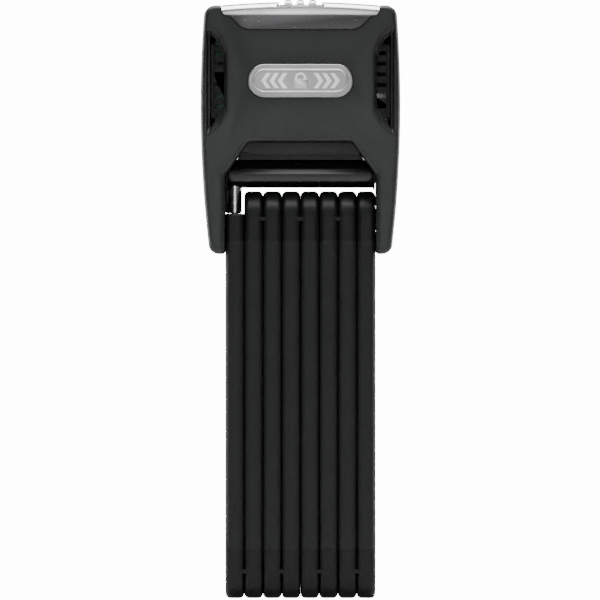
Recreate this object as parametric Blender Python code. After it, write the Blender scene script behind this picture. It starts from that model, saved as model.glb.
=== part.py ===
"""Folding bar lock: eight riveted bars hanging in a keyed lock body.

Metres, +Z up, front of the lock faces -Y, X = 0 is the middle of the lock. The
sizes below are laid out from the lowest point of the hanging bars and the middle
of their depth; build() then moves everything so that the origin is the middle of
the rear face, where a carrier holds the lock.
"""
import math

import bmesh
import bpy
from mathutils import Matrix, Vector

# ---------------------------------------------------------------- bars
BAR_COUNT = 8
BAR_PITCH = 0.0080          # side by side spacing of the bars
PIVOT_SPAN = 0.1500         # rivet to rivet along one bar
BAR_DEPTH = 0.0240          # coated bar, front to back
COAT_WIDTH = 0.0074         # hard coating, side to side
COAT_EDGE = 0.0012          # rounding on the coating's edges
CORE_THICK = 0.0050         # hardened steel
CORE_DEPTH = BAR_DEPTH - 0.0064
SLEEVE_WIDTH = 0.00792      # soft sleeve, side to side: neighbours all but touch
SLEEVE_DEPTH = BAR_DEPTH + 0.0003
WAIST_WIDTH = 0.0063        # coating under the sleeve
WAIST_DEPTH = BAR_DEPTH - 0.0034
MOULD_GAP = 0.00012         # between moulded layers
FIRST_BAR_TOP = 0.0023      # the first bar stops this far above the pivot height

# ---------------------------------------------------------------- rivets and stud
RIVET_R = 0.0030
RIVET_HEAD_R = RIVET_R + 0.0020
SPACER_R = RIVET_R + 0.0058
SLEEVE_END_GAP = SPACER_R + 0.0002     # from a pivot to the sleeve's end
RUN_GAP = 0.00008           # radial running clearance
SIDE_GAP = 0.00015          # sideways clearance at rivets
HEAD_POCKET_GAP = 0.0004
POCKET_LAP = 0.0002         # a spacer's pocket reaches this far past the steel's face
STUD_REACH = 0.0047         # stud beyond the last bar's coating
STUD_R = 0.0050

# ---------------------------------------------------------------- where the bars are
LEG_GAP = 0.0001            # between the leg and the outermost sleeve
PIVOT_LOW = BAR_DEPTH / 2
PIVOT_HIGH = PIVOT_LOW + PIVOT_SPAN
STACK_HALF = BAR_PITCH * (BAR_COUNT - 1) / 2
LEG_INNER = STACK_HALF + SLEEVE_WIDTH / 2 + LEG_GAP
BARREL_R = 0.0061
BARREL_Z = PIVOT_HIGH + BAR_DEPTH / 2 + BARREL_R + 0.0014
ARCH_TOP_Z = BARREL_Z + BAR_DEPTH / 2 + 0.0013      # the swung bars pass under it

# ---------------------------------------------------------------- lock body
BODY_HALF = LEG_INNER + 0.01044          # at the widest height
BODY_WIDEST_Z = ARCH_TOP_Z + 0.0157
BODY_TAPER = 0.0034         # loss of half width over BODY_TAPER_RUN
BODY_TAPER_RUN = 0.0595
BODY_TOP_Z = ARCH_TOP_Z + 0.0580
LEG_BOTTOM_Z = PIVOT_HIGH - 0.0148
TOP_CORNER_R = 0.0050
LEG_CORNER_R = 0.0040
LEG_INNER_CHAMFER = 0.0016
LOCK_WORK_ROOM = 0.0120     # the cylinder and cam need this much each way, as the bars do
BODY_HALF_DEPTH = max(BAR_DEPTH / 2, LOCK_WORK_ROOM) + 0.0050
BODY_BEVEL = 0.0022
BODY_BEVEL_DEPTH = 0.0021
WALL = 0.0024
SPLIT_GAP = 0.00015         # each shell stops this far from the middle plane
ARCH_TOP_HALF = LEG_INNER - 0.01016
ARCH_SHOULDER_Z = ARCH_TOP_Z - 0.0142
LINER_FRONT_Y = 0.0032 - BODY_HALF_DEPTH
LINER_THICK = 0.0026
LINER_DROP = 0.0050
LINER_RIB_HALF = 0.0035
CAVITY_HALF = BODY_HALF - 0.0040
CAVITY_STEP_Z = ARCH_TOP_Z + 0.0452
CAVITY_UPPER_HALF = BODY_HALF - 0.0115
SHELL_TOP_Z = BODY_TOP_Z - 0.0025
FIT_GAP = 0.0003            # between fitted pieces

# ---------------------------------------------------------------- top cap and cover
CAP_HALF = BODY_HALF - 0.0090
CAP_CROWN = 0.0015
CAP_PLATE_BOTTOM_Z = SHELL_TOP_Z + 0.0003
CAP_FLAP_BOTTOM_Z = BODY_TOP_Z - 0.0105
CAP_FLAP_THICK = 0.0012
CAP_PROUD = 0.0003
CHANNEL_FLOOR_Z = BODY_TOP_Z - 0.0008
CHANNEL_HALF = 0.0091
CHANNEL_LIP = 0.0010
CHANNEL_LIP_HEIGHT = 0.0012
KEYHOLE_R = 0.0072
COVER_FLOOR_Z = BODY_TOP_Z + 0.0006
COVER_TOP_Z = BODY_TOP_Z + 0.0028
COVER_RIB = 0.0034
COVER_RIB_PITCH = 0.0052
COVER_FRONT_Y = -0.0110
COVER_LENGTH = 0.0160

# ---------------------------------------------------------------- badge and windows
BADGE_LENGTH = 0.0447
BADGE_HEIGHT = 0.0142
BADGE_Z = ARCH_TOP_Z + 0.0258
BADGE_THICK = 0.0012
BADGE_POCKET = 0.0008
BADGE_RING_INSET = 0.0019
BADGE_RING_WIDTH = 0.0006
WINDOW_INNER_X = BODY_HALF - 0.0104
WINDOW_OUTER_X = BODY_HALF - 0.0030
WINDOW_TOP_Z = ARCH_TOP_Z + 0.0474
WINDOW_BOTTOM_Z = ARCH_TOP_Z + 0.0037
WINDOW_RIM = 0.0009
WINDOW_RIM_DEPTH = 0.0010
INSERT_THICK = 0.0012

# ---------------------------------------------------------------- barrel, pin and bushes
JOURNAL_R = 0.0030
BUSH_R = 0.0042
BUSH_FLANGE_R = BARREL_R + 0.0009
BUSH_FLANGE_THICK = 0.0008
BUSH_DEPTH = 0.0040
PIN_R = 0.0029
PIN_NECK_R = 0.0015
PIN_NECK_DEPTH = 0.0140
GUARD_Y = 0.0040
GUARD_THICK = 0.0022

# ---------------------------------------------------------------- lock work
CORE_Y = -0.0030            # cylinder axis, front to back
CYL_R = 0.0060
HOUSING_R = 0.0088
HOUSING_FLANGE_R = 0.0108
HOUSING_FLANGE = 0.0020
HOUSING_TOP_Z = SHELL_TOP_Z - 0.0003
CAM_R = 0.0090
CAM_THICK = 0.0028
CAM_Z = ARCH_TOP_Z + 0.0276
CAM_THROW = 0.0075
CAM_PIN_R = 0.0018
YOKE_GAP = 0.00045
SLIDER_THICK = 0.0028
SLIDER_PLATE_Y = 0.0016
SLIDER_PLATE_THICK = 0.0028
CROSS_X = 0.0200
CROSS_Z = ARCH_TOP_Z + 0.0182
CROSS_R = 0.0015
BOLT_X = LEG_INNER + 0.00354
BOLT_WIDTH = 0.0040
BOLT_Y = 0.0056
BOLT_DEPTH = 0.0048
BOLT_TIP_Z = PIVOT_HIGH + STUD_R + 0.0056
BOLT_ARM = 0.0080
BOLT_GAP = 0.0003
CASE_LEFT = -0.0160
CASE_RIGHT = 0.0140
CASE_WALL = 0.0016
CASE_FRONT_Y = 0.0028 - BODY_HALF_DEPTH
CASE_REAR_Y = BODY_HALF_DEPTH - 0.0032
CASE_BOTTOM_Z = ARCH_TOP_Z + 0.0029

# ---------------------------------------------------------------- alarm
BATTERY_R = 0.0078
BATTERY_LENGTH = 0.0270
BATTERY_X = 0.0155 - BODY_HALF
BATTERY_Y = 0.0020
BATTERY_Z = ARCH_TOP_Z + 0.0142
BOARD_Y = -0.0090
BOARD_THICK = 0.0014
BOARD_WIDTH = 0.0190
BOARD_HEIGHT = 0.0370
SOUNDER_R = 0.0092
SOUNDER_THICK = 0.0030
SOUNDER_Z = ARCH_TOP_Z + 0.0282
DOOR_WIDTH = 0.0172
DOOR_HEIGHT = 0.0314
DOOR_THICK = 0.0012
DOOR_LEDGE = 0.0012
DOOR_FOOT = 0.0060          # ledge under the door screw
DOOR_SUNK = 0.0003

# ---------------------------------------------------------------- screws
SCREW_R = 0.0014
SCREW_HEAD_R = 0.0027
SCREW_HEAD = 0.0018
SCREW_SUNK = 0.0006
SCREW_TIP_Y = 0.0070 - BODY_HALF_DEPTH
DOOR_SCREW_R = 0.0010
DOOR_SCREW_HEAD_R = 0.0018
DOOR_SCREW_LENGTH = 0.0050
SCREW_TOP = (BODY_HALF - 0.0073, BODY_TOP_Z - 0.0066)
SCREW_LEG = (LEG_INNER + 0.00454, LEG_BOTTOM_Z + 0.0048)

# ---------------------------------------------------------------- places worked out
FIRST_TOP_Z = PIVOT_HIGH + FIRST_BAR_TOP
PIN_X = -STACK_HALF
CAM_PIN_X = -CAM_THROW * math.sin(math.radians(45))
CAM_PIN_Y = CORE_Y + CAM_THROW * math.cos(math.radians(45))
SLIDE_TRAVEL = 2 * CAM_THROW * math.sin(math.radians(45))
SLIDER_TOP_Z = CAM_Z - FIT_GAP
SLIDER_BOTTOM_Z = SLIDER_TOP_Z - SLIDER_THICK
STUD_TRACK_R = BARREL_Z - PIVOT_HIGH
STUD_SLOT_HALF = STUD_R + 0.0004
CAVITY_BOTTOM_Z = ARCH_TOP_Z + WALL + 0.0002
CAVITY_TOP_Z = SHELL_TOP_Z - WALL
CAVITY_HALF_DEPTH = BODY_HALF_DEPTH - WALL

CARRIER_Z = ARCH_TOP_Z + 0.0252          # height of the carrier's contact point on the rear face

FINE = 20
MEDIUM = 16
SMALL = 12


# ---------------------------------------------------------------- building blocks
def clear_scene():
    """Empty the scene before building."""
    for item in list(bpy.data.objects):
        bpy.data.objects.remove(item, do_unlink=True)


def coat(item, colour, roughness, metallic):
    """Give one piece its own material."""
    paint = bpy.data.materials.new(item.name + "_finish")
    paint.use_nodes = True
    surface = paint.node_tree.nodes["Principled BSDF"]
    surface.inputs["Base Color"].default_value = (*colour, 1.0)
    surface.inputs["Roughness"].default_value = roughness
    surface.inputs["Metallic"].default_value = metallic
    item.data.materials.append(paint)
    return item


def placed(axis, at, outline):
    """Stand a flat outline at one place along an axis."""
    if axis == "X":
        return [(at, u, v) for u, v in outline]
    if axis == "Y":
        return [(u, at, v) for u, v in outline]
    return [(u, v, at) for u, v in outline]


def loft(name, rings, around=False):
    """Skin a row of rings; around joins the last ring to the first."""
    shape = bmesh.new()
    rows = [[shape.verts.new(point) for point in ring] for ring in rings]
    pairs = list(zip(rows, rows[1:]))
    if around:
        pairs.append((rows[-1], rows[0]))
    for low, high in pairs:
        for i in range(len(low)):
            j = (i + 1) % len(low)
            shape.faces.new((low[i], low[j], high[j], high[i]))
    if not around:
        shape.faces.new(rows[0])
        shape.faces.new(rows[-1])
    bmesh.ops.recalc_face_normals(shape, faces=shape.faces)
    mesh = bpy.data.meshes.new(name)
    shape.to_mesh(mesh)
    shape.free()
    item = bpy.data.objects.new(name, mesh)
    bpy.context.scene.collection.objects.link(item)
    return item


def prism(name, axis, low, high, outline):
    """A straight bar of one outline."""
    return loft(name, [placed(axis, low, outline), placed(axis, high, outline)])


def block(name, x, y, z):
    """A box from its limits."""
    return prism(name, "Z", z[0], z[1], box_outline(x, y))


def box_outline(u, v):
    """Corners of a rectangle, in turning order."""
    return [(u[0], v[0]), (u[1], v[0]), (u[1], v[1]), (u[0], v[1])]


def circle(radius, sides, centre=(0.0, 0.0)):
    """A round outline."""
    turn = 2 * math.pi / sides
    return [(centre[0] + radius * math.cos(turn * i), centre[1] + radius * math.sin(turn * i))
            for i in range(sides)]


def turned(name, axis, stations, sides, centre=(0.0, 0.0), around=False):
    """A lathe-turned piece from (place along the axis, radius) stations."""
    rings = [placed(axis, at, circle(radius, sides, centre)) for at, radius in stations]
    return loft(name, rings, around)


def smooth(item, angle=40):
    """Shade the round faces smooth and keep real edges crisp."""
    for face in item.data.polygons:
        face.use_smooth = True
    item.data.set_sharp_from_angle(angle=math.radians(angle))
    return item


def combine(item, others, how="DIFFERENCE"):
    """Cut others from a piece, or join them to it, and drop them."""
    for other in others:
        step = item.modifiers.new("shape", "BOOLEAN")
        step.operation = how
        step.solver = "EXACT"
        step.object = other
    graph = bpy.context.evaluated_depsgraph_get()
    result = bpy.data.meshes.new_from_object(item.evaluated_get(graph))
    item.modifiers.clear()
    old = item.data
    item.data = result
    bpy.data.meshes.remove(old)
    for other in others:
        bpy.data.objects.remove(other, do_unlink=True)
    return item


def seat(item, point):
    """Put a piece's own origin on a point of its joint axis."""
    item.data.transform(Matrix.Translation(-Vector(point)))
    item.location = point
    return item


def bar_outline(low, high, radius, sides=MEDIUM):
    """A long outline in (y, z) with round ends about two pivots."""
    half = sides // 2
    top = [(radius * math.cos(math.pi * i / half), high + radius * math.sin(math.pi * i / half))
           for i in range(half + 1)]
    bottom = [(-radius * math.cos(math.pi * i / half), low - radius * math.sin(math.pi * i / half))
              for i in range(half + 1)]
    return top + bottom


def square_top_outline(low, top, radius, sides=MEDIUM):
    """Like bar_outline but cut square at the top."""
    half = sides // 2
    bottom = [(-radius * math.cos(math.pi * i / half), low - radius * math.sin(math.pi * i / half))
              for i in range(half + 1)]
    return [(radius, top), (-radius, top)] + bottom


def chamfered(u, v, cut):
    """A rectangle centred on zero with its corners taken off."""
    return [(u - cut, -v), (u, -v + cut), (u, v - cut), (u - cut, v),
            (-u + cut, v), (-u, v - cut), (-u, -v + cut), (-u + cut, -v)]


def inset(outline, distance):
    """Move every edge of a turning outline inwards."""
    count = len(outline)
    moved = []
    for i in range(count):
        a, b, c = outline[i - 1], outline[i], outline[(i + 1) % count]
        first = unit(b[0] - a[0], b[1] - a[1])
        second = unit(c[0] - b[0], c[1] - b[1])
        n1 = (-first[1], first[0])
        n2 = (-second[1], second[0])
        reach = distance / (1 + n1[0] * n2[0] + n1[1] * n2[1])
        moved.append((b[0] + reach * (n1[0] + n2[0]), b[1] + reach * (n1[1] + n2[1])))
    return moved


def unit(u, v):
    """A direction of length one."""
    length = math.hypot(u, v)
    return (u / length, v / length)


def capsule(half_length, radius, centre_z, sides=MEDIUM):
    """A lying outline in (x, z) with round ends."""
    half = sides // 2
    run = half_length - radius
    right = [(run + radius * math.sin(math.pi * i / half),
              centre_z - radius * math.cos(math.pi * i / half)) for i in range(half + 1)]
    left = [(-u, 2 * centre_z - v) for u, v in right]
    return right + left


# ---------------------------------------------------------------- the bars
def bar_x(number):
    """Middle of a bar, counted from 1 at the left."""
    return (number - 1) * BAR_PITCH - STACK_HALF


def has_top_pivot(number):
    """Every bar but the first pivots or latches at its top."""
    return number > 1


def bar_core(number):
    """The hardened steel strip inside a bar."""
    x = bar_x(number)
    name = "bar_%d_steel_core" % number
    radius = CORE_DEPTH / 2
    if has_top_pivot(number):
        outline = bar_outline(PIVOT_LOW, PIVOT_HIGH, radius)
    else:
        outline = square_top_outline(PIVOT_LOW, FIRST_TOP_Z - MOULD_GAP, radius)
    core = prism(name, "X", x - CORE_THICK / 2, x + CORE_THICK / 2, outline)
    span = (x - CORE_THICK, x + CORE_THICK)
    holes = [turned("hole", "X", [(span[0], RIVET_R + RUN_GAP), (span[1], RIVET_R + RUN_GAP)],
                    MEDIUM, (0.0, PIVOT_LOW))]
    if has_top_pivot(number):
        holes.append(turned("hole", "X", [(span[0], RIVET_R + RUN_GAP), (span[1], RIVET_R + RUN_GAP)],
                            MEDIUM, (0.0, PIVOT_HIGH)))
    else:
        radius = PIN_NECK_R + RUN_GAP
        holes.append(turned("hole", "Z", [(FIRST_TOP_Z - PIN_NECK_DEPTH - FIT_GAP, radius),
                                          (FIRST_TOP_Z + FIT_GAP, radius)], MEDIUM, (x, 0.0)))
    combine(core, holes)
    smooth(core)
    return coat(core, (0.42, 0.43, 0.44), 0.35, 1.0)


def pivot_pocket(x, z, spacer_side):
    """The opening in a coating around a pivot: wide on the spacer's side."""
    face = CORE_THICK / 2 - POCKET_LAP
    small = RIVET_HEAD_R + HEAD_POCKET_GAP
    wide = SPACER_R + FIT_GAP
    stations = [(x - COAT_WIDTH, small), (x + COAT_WIDTH, small)]
    if spacer_side > 0:
        stations = [(x - COAT_WIDTH, small), (x + face, small), (x + face, wide), (x + COAT_WIDTH, wide)]
    if spacer_side < 0:
        stations = [(x - COAT_WIDTH, wide), (x - face, wide), (x - face, small), (x + COAT_WIDTH, small)]
    return turned("pocket", "X", stations, MEDIUM, (0.0, z))


def bar_coating(number):
    """The hard coating moulded round the steel, slim where the sleeve sits."""
    x = bar_x(number)
    half = COAT_WIDTH / 2
    radius = BAR_DEPTH / 2
    stations = [(-half, COAT_EDGE), (-half + COAT_EDGE * 0.35, COAT_EDGE * 0.35),
                (-half + COAT_EDGE, 0.0), (half - COAT_EDGE, 0.0),
                (half - COAT_EDGE * 0.35, COAT_EDGE * 0.35), (half, COAT_EDGE)]
    rings = []
    for at, taken in stations:
        if has_top_pivot(number):
            outline = bar_outline(PIVOT_LOW, PIVOT_HIGH, radius - taken)
        else:
            outline = square_top_outline(PIVOT_LOW, FIRST_TOP_Z, radius - taken)
        rings.append(placed("X", x + at, outline))
    coating = loft("bar_%d_hard_coating" % number, rings)
    cutters = [sleeve_space(x), core_space(number)]
    low_side = 1 if number % 2 else -1
    cutters.append(pivot_pocket(x, PIVOT_LOW, low_side))
    if number == BAR_COUNT:
        cutters.append(pivot_pocket(x, PIVOT_HIGH, 0))
    elif has_top_pivot(number):
        cutters.append(pivot_pocket(x, PIVOT_HIGH, -low_side))
    combine(coating, cutters)
    smooth(coating)
    return coat(coating, (0.012, 0.013, 0.015), 0.42, 0.0)


def sleeve_space(x):
    """What the slim waist leaves free: a square-cornered ring around the bar."""
    low = PIVOT_LOW + SLEEVE_END_GAP
    high = PIVOT_HIGH - SLEEVE_END_GAP
    outer = [(x + u, v) for u, v in chamfered(COAT_WIDTH, BAR_DEPTH, COAT_EDGE)]
    inner = [(x + u, v) for u, v in chamfered(WAIST_WIDTH / 2, WAIST_DEPTH / 2, COAT_EDGE)]
    return loft("waist", [placed("Z", low, outer), placed("Z", high, outer),
                          placed("Z", high, inner), placed("Z", low, inner)], around=True)


def core_space(number):
    """The room inside the coating for the steel."""
    x = bar_x(number)
    half = CORE_THICK / 2 + MOULD_GAP
    radius = CORE_DEPTH / 2 + MOULD_GAP
    if has_top_pivot(number):
        return prism("room", "X", x - half, x + half, bar_outline(PIVOT_LOW, PIVOT_HIGH, radius))
    return prism("room", "X", x - half, x + half, square_top_outline(PIVOT_LOW, FIRST_TOP_Z + WALL, radius))


def bar_sleeve(number):
    """The soft sleeve round the middle of a bar."""
    x = bar_x(number)
    low = PIVOT_LOW + SLEEVE_END_GAP + FIT_GAP
    high = PIVOT_HIGH - SLEEVE_END_GAP - FIT_GAP
    outer = [(x + u, v) for u, v in chamfered(SLEEVE_WIDTH / 2, SLEEVE_DEPTH / 2, COAT_EDGE * 1.5)]
    inner = [(x + u, v) for u, v in chamfered(WAIST_WIDTH / 2 + MOULD_GAP, WAIST_DEPTH / 2 + MOULD_GAP,
                                              COAT_EDGE)]
    sleeve = loft("bar_%d_soft_sleeve" % number, [placed("Z", low, outer), placed("Z", high, outer),
                                                  placed("Z", high, inner), placed("Z", low, inner)],
                  around=True)
    return coat(sleeve, (0.030, 0.033, 0.035), 0.55, 0.0)


def rivet(number):
    """The rivet between one bar and the next, with its spacer collar."""
    middle = bar_x(number) + BAR_PITCH / 2
    z = PIVOT_LOW if number % 2 else PIVOT_HIGH
    face = BAR_PITCH / 2 + CORE_THICK / 2 + SIDE_GAP
    inner = BAR_PITCH / 2 - CORE_THICK / 2 - SIDE_GAP
    outer = BAR_PITCH / 2 + COAT_WIDTH / 2 - SIDE_GAP
    half = [(inner, SPACER_R), (inner, RIVET_R), (face, RIVET_R), (face, RIVET_HEAD_R),
            (outer - SIDE_GAP, RIVET_HEAD_R), (outer, RIVET_HEAD_R - 2 * SIDE_GAP)]
    stations = [(-at, radius) for at, radius in reversed(half)] + half
    piece = turned("rivet_bar_%d_to_%d" % (number, number + 1), "X",
                   [(middle + at, radius) for at, radius in stations], MEDIUM, (0.0, z))
    smooth(piece)
    return coat(piece, (0.22, 0.23, 0.24), 0.38, 1.0)


def locking_stud():
    """The stud riveted to the last bar, which the locking bolt traps."""
    x = bar_x(BAR_COUNT)
    face = CORE_THICK / 2 + SIDE_GAP
    left = COAT_WIDTH / 2 - SIDE_GAP
    reach = COAT_WIDTH / 2 + STUD_REACH
    stations = [(-left, RIVET_HEAD_R), (-face, RIVET_HEAD_R), (-face, RIVET_R), (face, RIVET_R),
                (face, RIVET_HEAD_R), (reach - 2 * SIDE_GAP, STUD_R), (reach, STUD_R - 2 * SIDE_GAP)]
    stud = turned("locking_stud", "X", [(x + at, radius) for at, radius in stations],
                  MEDIUM, (0.0, PIVOT_HIGH))
    smooth(stud)
    return coat(stud, (0.55, 0.56, 0.57), 0.25, 1.0)


# ---------------------------------------------------------------- barrel and swivel pin
def swing_barrel():
    """The cross barrel that turns in the legs, with the guard behind the pin."""
    shoulder = LEG_INNER - BUSH_FLANGE_THICK - FIT_GAP * 2
    journal = LEG_INNER + BUSH_DEPTH
    half = [(shoulder, BARREL_R), (shoulder, JOURNAL_R), (journal, JOURNAL_R)]
    stations = [(-at, radius) for at, radius in reversed(half)] + half
    barrel = turned("swing_barrel", "X", stations, FINE, (0.0, BARREL_Z))
    hole = turned("hole", "Z", [(BARREL_Z - 2 * BARREL_R, PIN_R + RUN_GAP),
                                (BARREL_Z + BARREL_R / 3, PIN_R + RUN_GAP)], FINE, (PIN_X, 0.0))
    guard = block("guard", (-shoulder, PIN_X + PIN_R),
                  (GUARD_Y, GUARD_Y + GUARD_THICK), (FIRST_TOP_Z + FIT_GAP, BARREL_Z))
    combine(barrel, [guard], "UNION")
    combine(barrel, [hole])
    smooth(barrel)
    return coat(barrel, (0.010, 0.012, 0.013), 0.16, 0.0)


def swivel_pin():
    """The bright pin the first bar turns on."""
    stations = [(FIRST_TOP_Z - PIN_NECK_DEPTH, PIN_NECK_R), (FIRST_TOP_Z + FIT_GAP, PIN_NECK_R),
                (FIRST_TOP_Z + FIT_GAP, PIN_R), (BARREL_Z + BARREL_R / 3 - FIT_GAP, PIN_R)]
    pin = turned("swivel_pin", "Z", stations, FINE, (PIN_X, 0.0))
    smooth(pin)
    return coat(pin, (0.86, 0.87, 0.88), 0.08, 1.0)


def barrel_bush(name, side):
    """A flanged bush pressed into one leg."""
    start = LEG_INNER - BUSH_FLANGE_THICK - FIT_GAP
    flange = LEG_INNER - FIT_GAP
    end = LEG_INNER + BUSH_DEPTH
    bore = JOURNAL_R + RUN_GAP
    stations = [(start, bore), (start, BUSH_FLANGE_R), (flange, BUSH_FLANGE_R), (flange, BUSH_R),
                (end, BUSH_R), (end, bore)]
    bush = turned(name, "X", [(side * at, radius) for at, radius in stations], FINE,
                  (0.0, BARREL_Z), around=True)
    smooth(bush)
    return coat(bush, (0.020, 0.021, 0.022), 0.45, 0.0)


# ---------------------------------------------------------------- lock body shells
def body_half_width(z):
    """Half width of the lock body at one height."""
    away = (z - BODY_WIDEST_Z) / BODY_TAPER_RUN
    return BODY_HALF - BODY_TAPER * away * away


def body_outline(side):
    """The fork-shaped outline of one shell in (x, z); the rear arch is square for the bars to pass."""
    low_z = LEG_BOTTOM_Z + LEG_CORNER_R
    high_z = BODY_TOP_Z - TOP_CORNER_R
    right = [(LEG_INNER, LEG_BOTTOM_Z + LEG_INNER_CHAMFER), (LEG_INNER + LEG_INNER_CHAMFER, LEG_BOTTOM_Z)]
    centre = body_half_width(low_z) - LEG_CORNER_R
    for i in range(5):
        angle = math.radians(-90 + 22.5 * i)
        right.append((centre + LEG_CORNER_R * math.cos(angle), low_z + LEG_CORNER_R * math.sin(angle)))
    for i in range(1, 9):
        z = low_z + (high_z - low_z) * i / 9
        right.append((body_half_width(z), z))
    centre = body_half_width(high_z) - TOP_CORNER_R
    for i in range(6):
        angle = math.radians(18 * i)
        right.append((centre + TOP_CORNER_R * math.cos(angle), high_z + TOP_CORNER_R * math.sin(angle)))
    left = [(-x, z) for x, z in reversed(right)]
    if side > 0:
        return right + left + [(-LEG_INNER, ARCH_TOP_Z), (LEG_INNER, ARCH_TOP_Z)]
    return right + left + [(-LEG_INNER, ARCH_SHOULDER_Z), (-ARCH_TOP_HALF, ARCH_TOP_Z),
                           (ARCH_TOP_HALF, ARCH_TOP_Z), (LEG_INNER, ARCH_SHOULDER_Z)]


def shell_blank(name, side):
    """One half of the body before it is hollowed; side is -1 at the front."""
    outline = body_outline(side)
    places = [(SPLIT_GAP, 0.0), (BODY_HALF_DEPTH - BODY_BEVEL_DEPTH, 0.0), (BODY_HALF_DEPTH, BODY_BEVEL)]
    rings = [placed("Y", side * at, inset(outline, taken)) for at, taken in places]
    return loft(name, rings)


def cavity(side):
    """The room inside one shell."""
    ends = (-side * WALL, side * CAVITY_HALF_DEPTH)
    outline = [(CAVITY_HALF, CAVITY_BOTTOM_Z), (CAVITY_HALF, CAVITY_STEP_Z),
               (CAVITY_UPPER_HALF, CAVITY_STEP_Z), (CAVITY_UPPER_HALF, CAVITY_TOP_Z)]
    outline = outline + [(-x, z) for x, z in reversed(outline)]
    return prism("cavity", "Y", min(ends), max(ends), outline)


def housing_hole():
    """The hole through the top wall for the cylinder housing."""
    radius = HOUSING_R + FIT_GAP
    return turned("hole", "Z", [(CAVITY_TOP_Z - WALL, radius), (BODY_TOP_Z, radius)], FINE, (0.0, CORE_Y))


def cap_notch():
    """The step across the top of the body that the cap fills."""
    half = CAP_HALF + FIT_GAP
    deep = BODY_HALF_DEPTH * 1.2
    return block("notch", (-half, half), (-deep, deep), (SHELL_TOP_Z, BODY_TOP_Z + WALL))


def flap_outline(grown=0.0):
    """The cap's front flap in (x, z), from the top left corner round to the top right."""
    right = [(CAP_HALF - 0.0109, CAP_FLAP_BOTTOM_Z), (CAP_HALF - 0.0078, CAP_FLAP_BOTTOM_Z + 0.0014),
             (CAP_HALF - 0.0038, BODY_TOP_Z - 0.0051), (CAP_HALF, BODY_TOP_Z)]
    right = [(x + grown, z - grown) for x, z in right]
    return [(-x, z) for x, z in reversed(right)] + right


def bush_hole(side):
    """The hole in a leg for its bush."""
    radius = BUSH_R + FIT_GAP / 2
    ends = sorted((side * (LEG_INNER - WALL), side * (LEG_INNER + BUSH_DEPTH + FIT_GAP)))
    return turned("hole", "X", [(ends[0], radius), (ends[1], radius)], FINE, (0.0, BARREL_Z))


def barrel_space():
    """The round relief in the front shell for the barrel and its bush flanges."""
    radius = BUSH_FLANGE_R + FIT_GAP
    return turned("relief", "X", [(-LEG_INNER, radius), (LEG_INNER, radius)], FINE, (0.0, BARREL_Z))


def screw_spots():
    """Places of the four housing screws in (x, z)."""
    return [(-SCREW_TOP[0], SCREW_TOP[1]), SCREW_TOP, (-SCREW_LEG[0], SCREW_LEG[1]), SCREW_LEG]


def screw_hole(spot):
    """The stepped hole for one housing screw."""
    shaft = SCREW_R + RUN_GAP
    head = SCREW_HEAD_R + FIT_GAP
    seat = BODY_HALF_DEPTH - SCREW_SUNK - SCREW_HEAD - FIT_GAP
    return turned("hole", "Y", [(SCREW_TIP_Y - FIT_GAP, shaft), (seat, shaft), (seat, head),
                                (BODY_HALF_DEPTH + WALL, head)], MEDIUM, spot)


def stud_slot():
    """The way in the right leg for the stud: straight to the rear and round the barrel."""
    half = STUD_SLOT_HALF
    inner = STUD_TRACK_R - half
    rear = BODY_HALF_DEPTH + WALL
    outline = [(-half, PIVOT_HIGH - half), (rear, PIVOT_HIGH - half), (rear, BARREL_Z + half),
               (inner, BARREL_Z + half)]
    for i in range(7):
        angle = math.radians(90 - 15 * i)
        outline.append((inner * math.sin(angle), BARREL_Z - inner * math.cos(angle)))
    outline.append((-half, PIVOT_HIGH + half))
    stud_end = bar_x(BAR_COUNT) + COAT_WIDTH / 2 + STUD_REACH
    return prism("slot", "X", LEG_INNER - WALL, stud_end + FIT_GAP, outline)


def bolt_channel():
    """The upright channel for the locking bolt in the right leg."""
    half = BOLT_WIDTH / 2 + BOLT_GAP
    return block("channel", (BOLT_X - half, BOLT_X + half),
                 (BOLT_Y - BOLT_GAP, BOLT_Y + BOLT_DEPTH + BOLT_GAP),
                 (BOLT_TIP_Z - SLIDE_TRAVEL - FIT_GAP, CAVITY_BOTTOM_Z + WALL))


def window_outline(side, shrink=0.0):
    """A side window in (x, z); shrink leaves a rim."""
    inner = WINDOW_INNER_X + shrink
    outer = WINDOW_OUTER_X - shrink / 2
    top = WINDOW_TOP_Z - shrink * 2
    bottom = WINDOW_BOTTOM_Z + shrink * 2
    points = [(inner, bottom + 0.0110), (inner + 0.0030, bottom + 0.0055), (outer, bottom),
              (outer, top), (inner + 0.0030, top - 0.0036), (inner, top - 0.0106)]
    return [(side * x, z) for x, z in points]


def window_cutters(side):
    """The recess and the opening of one side window."""
    front = -BODY_HALF_DEPTH
    recess = prism("recess", "Y", front - WALL, front + WINDOW_RIM_DEPTH, window_outline(side))
    opening = prism("opening", "Y", front - WALL, -CAVITY_HALF_DEPTH + WALL,
                    window_outline(side, WINDOW_RIM))
    return [recess, opening]


def badge_pocket():
    """The shallow seat for the badge in the front face."""
    outline = capsule(BADGE_LENGTH / 2 + FIT_GAP, BADGE_HEIGHT / 2 + FIT_GAP, BADGE_Z)
    return prism("seat", "Y", -BODY_HALF_DEPTH - WALL, -BODY_HALF_DEPTH + BADGE_POCKET, outline)


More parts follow.
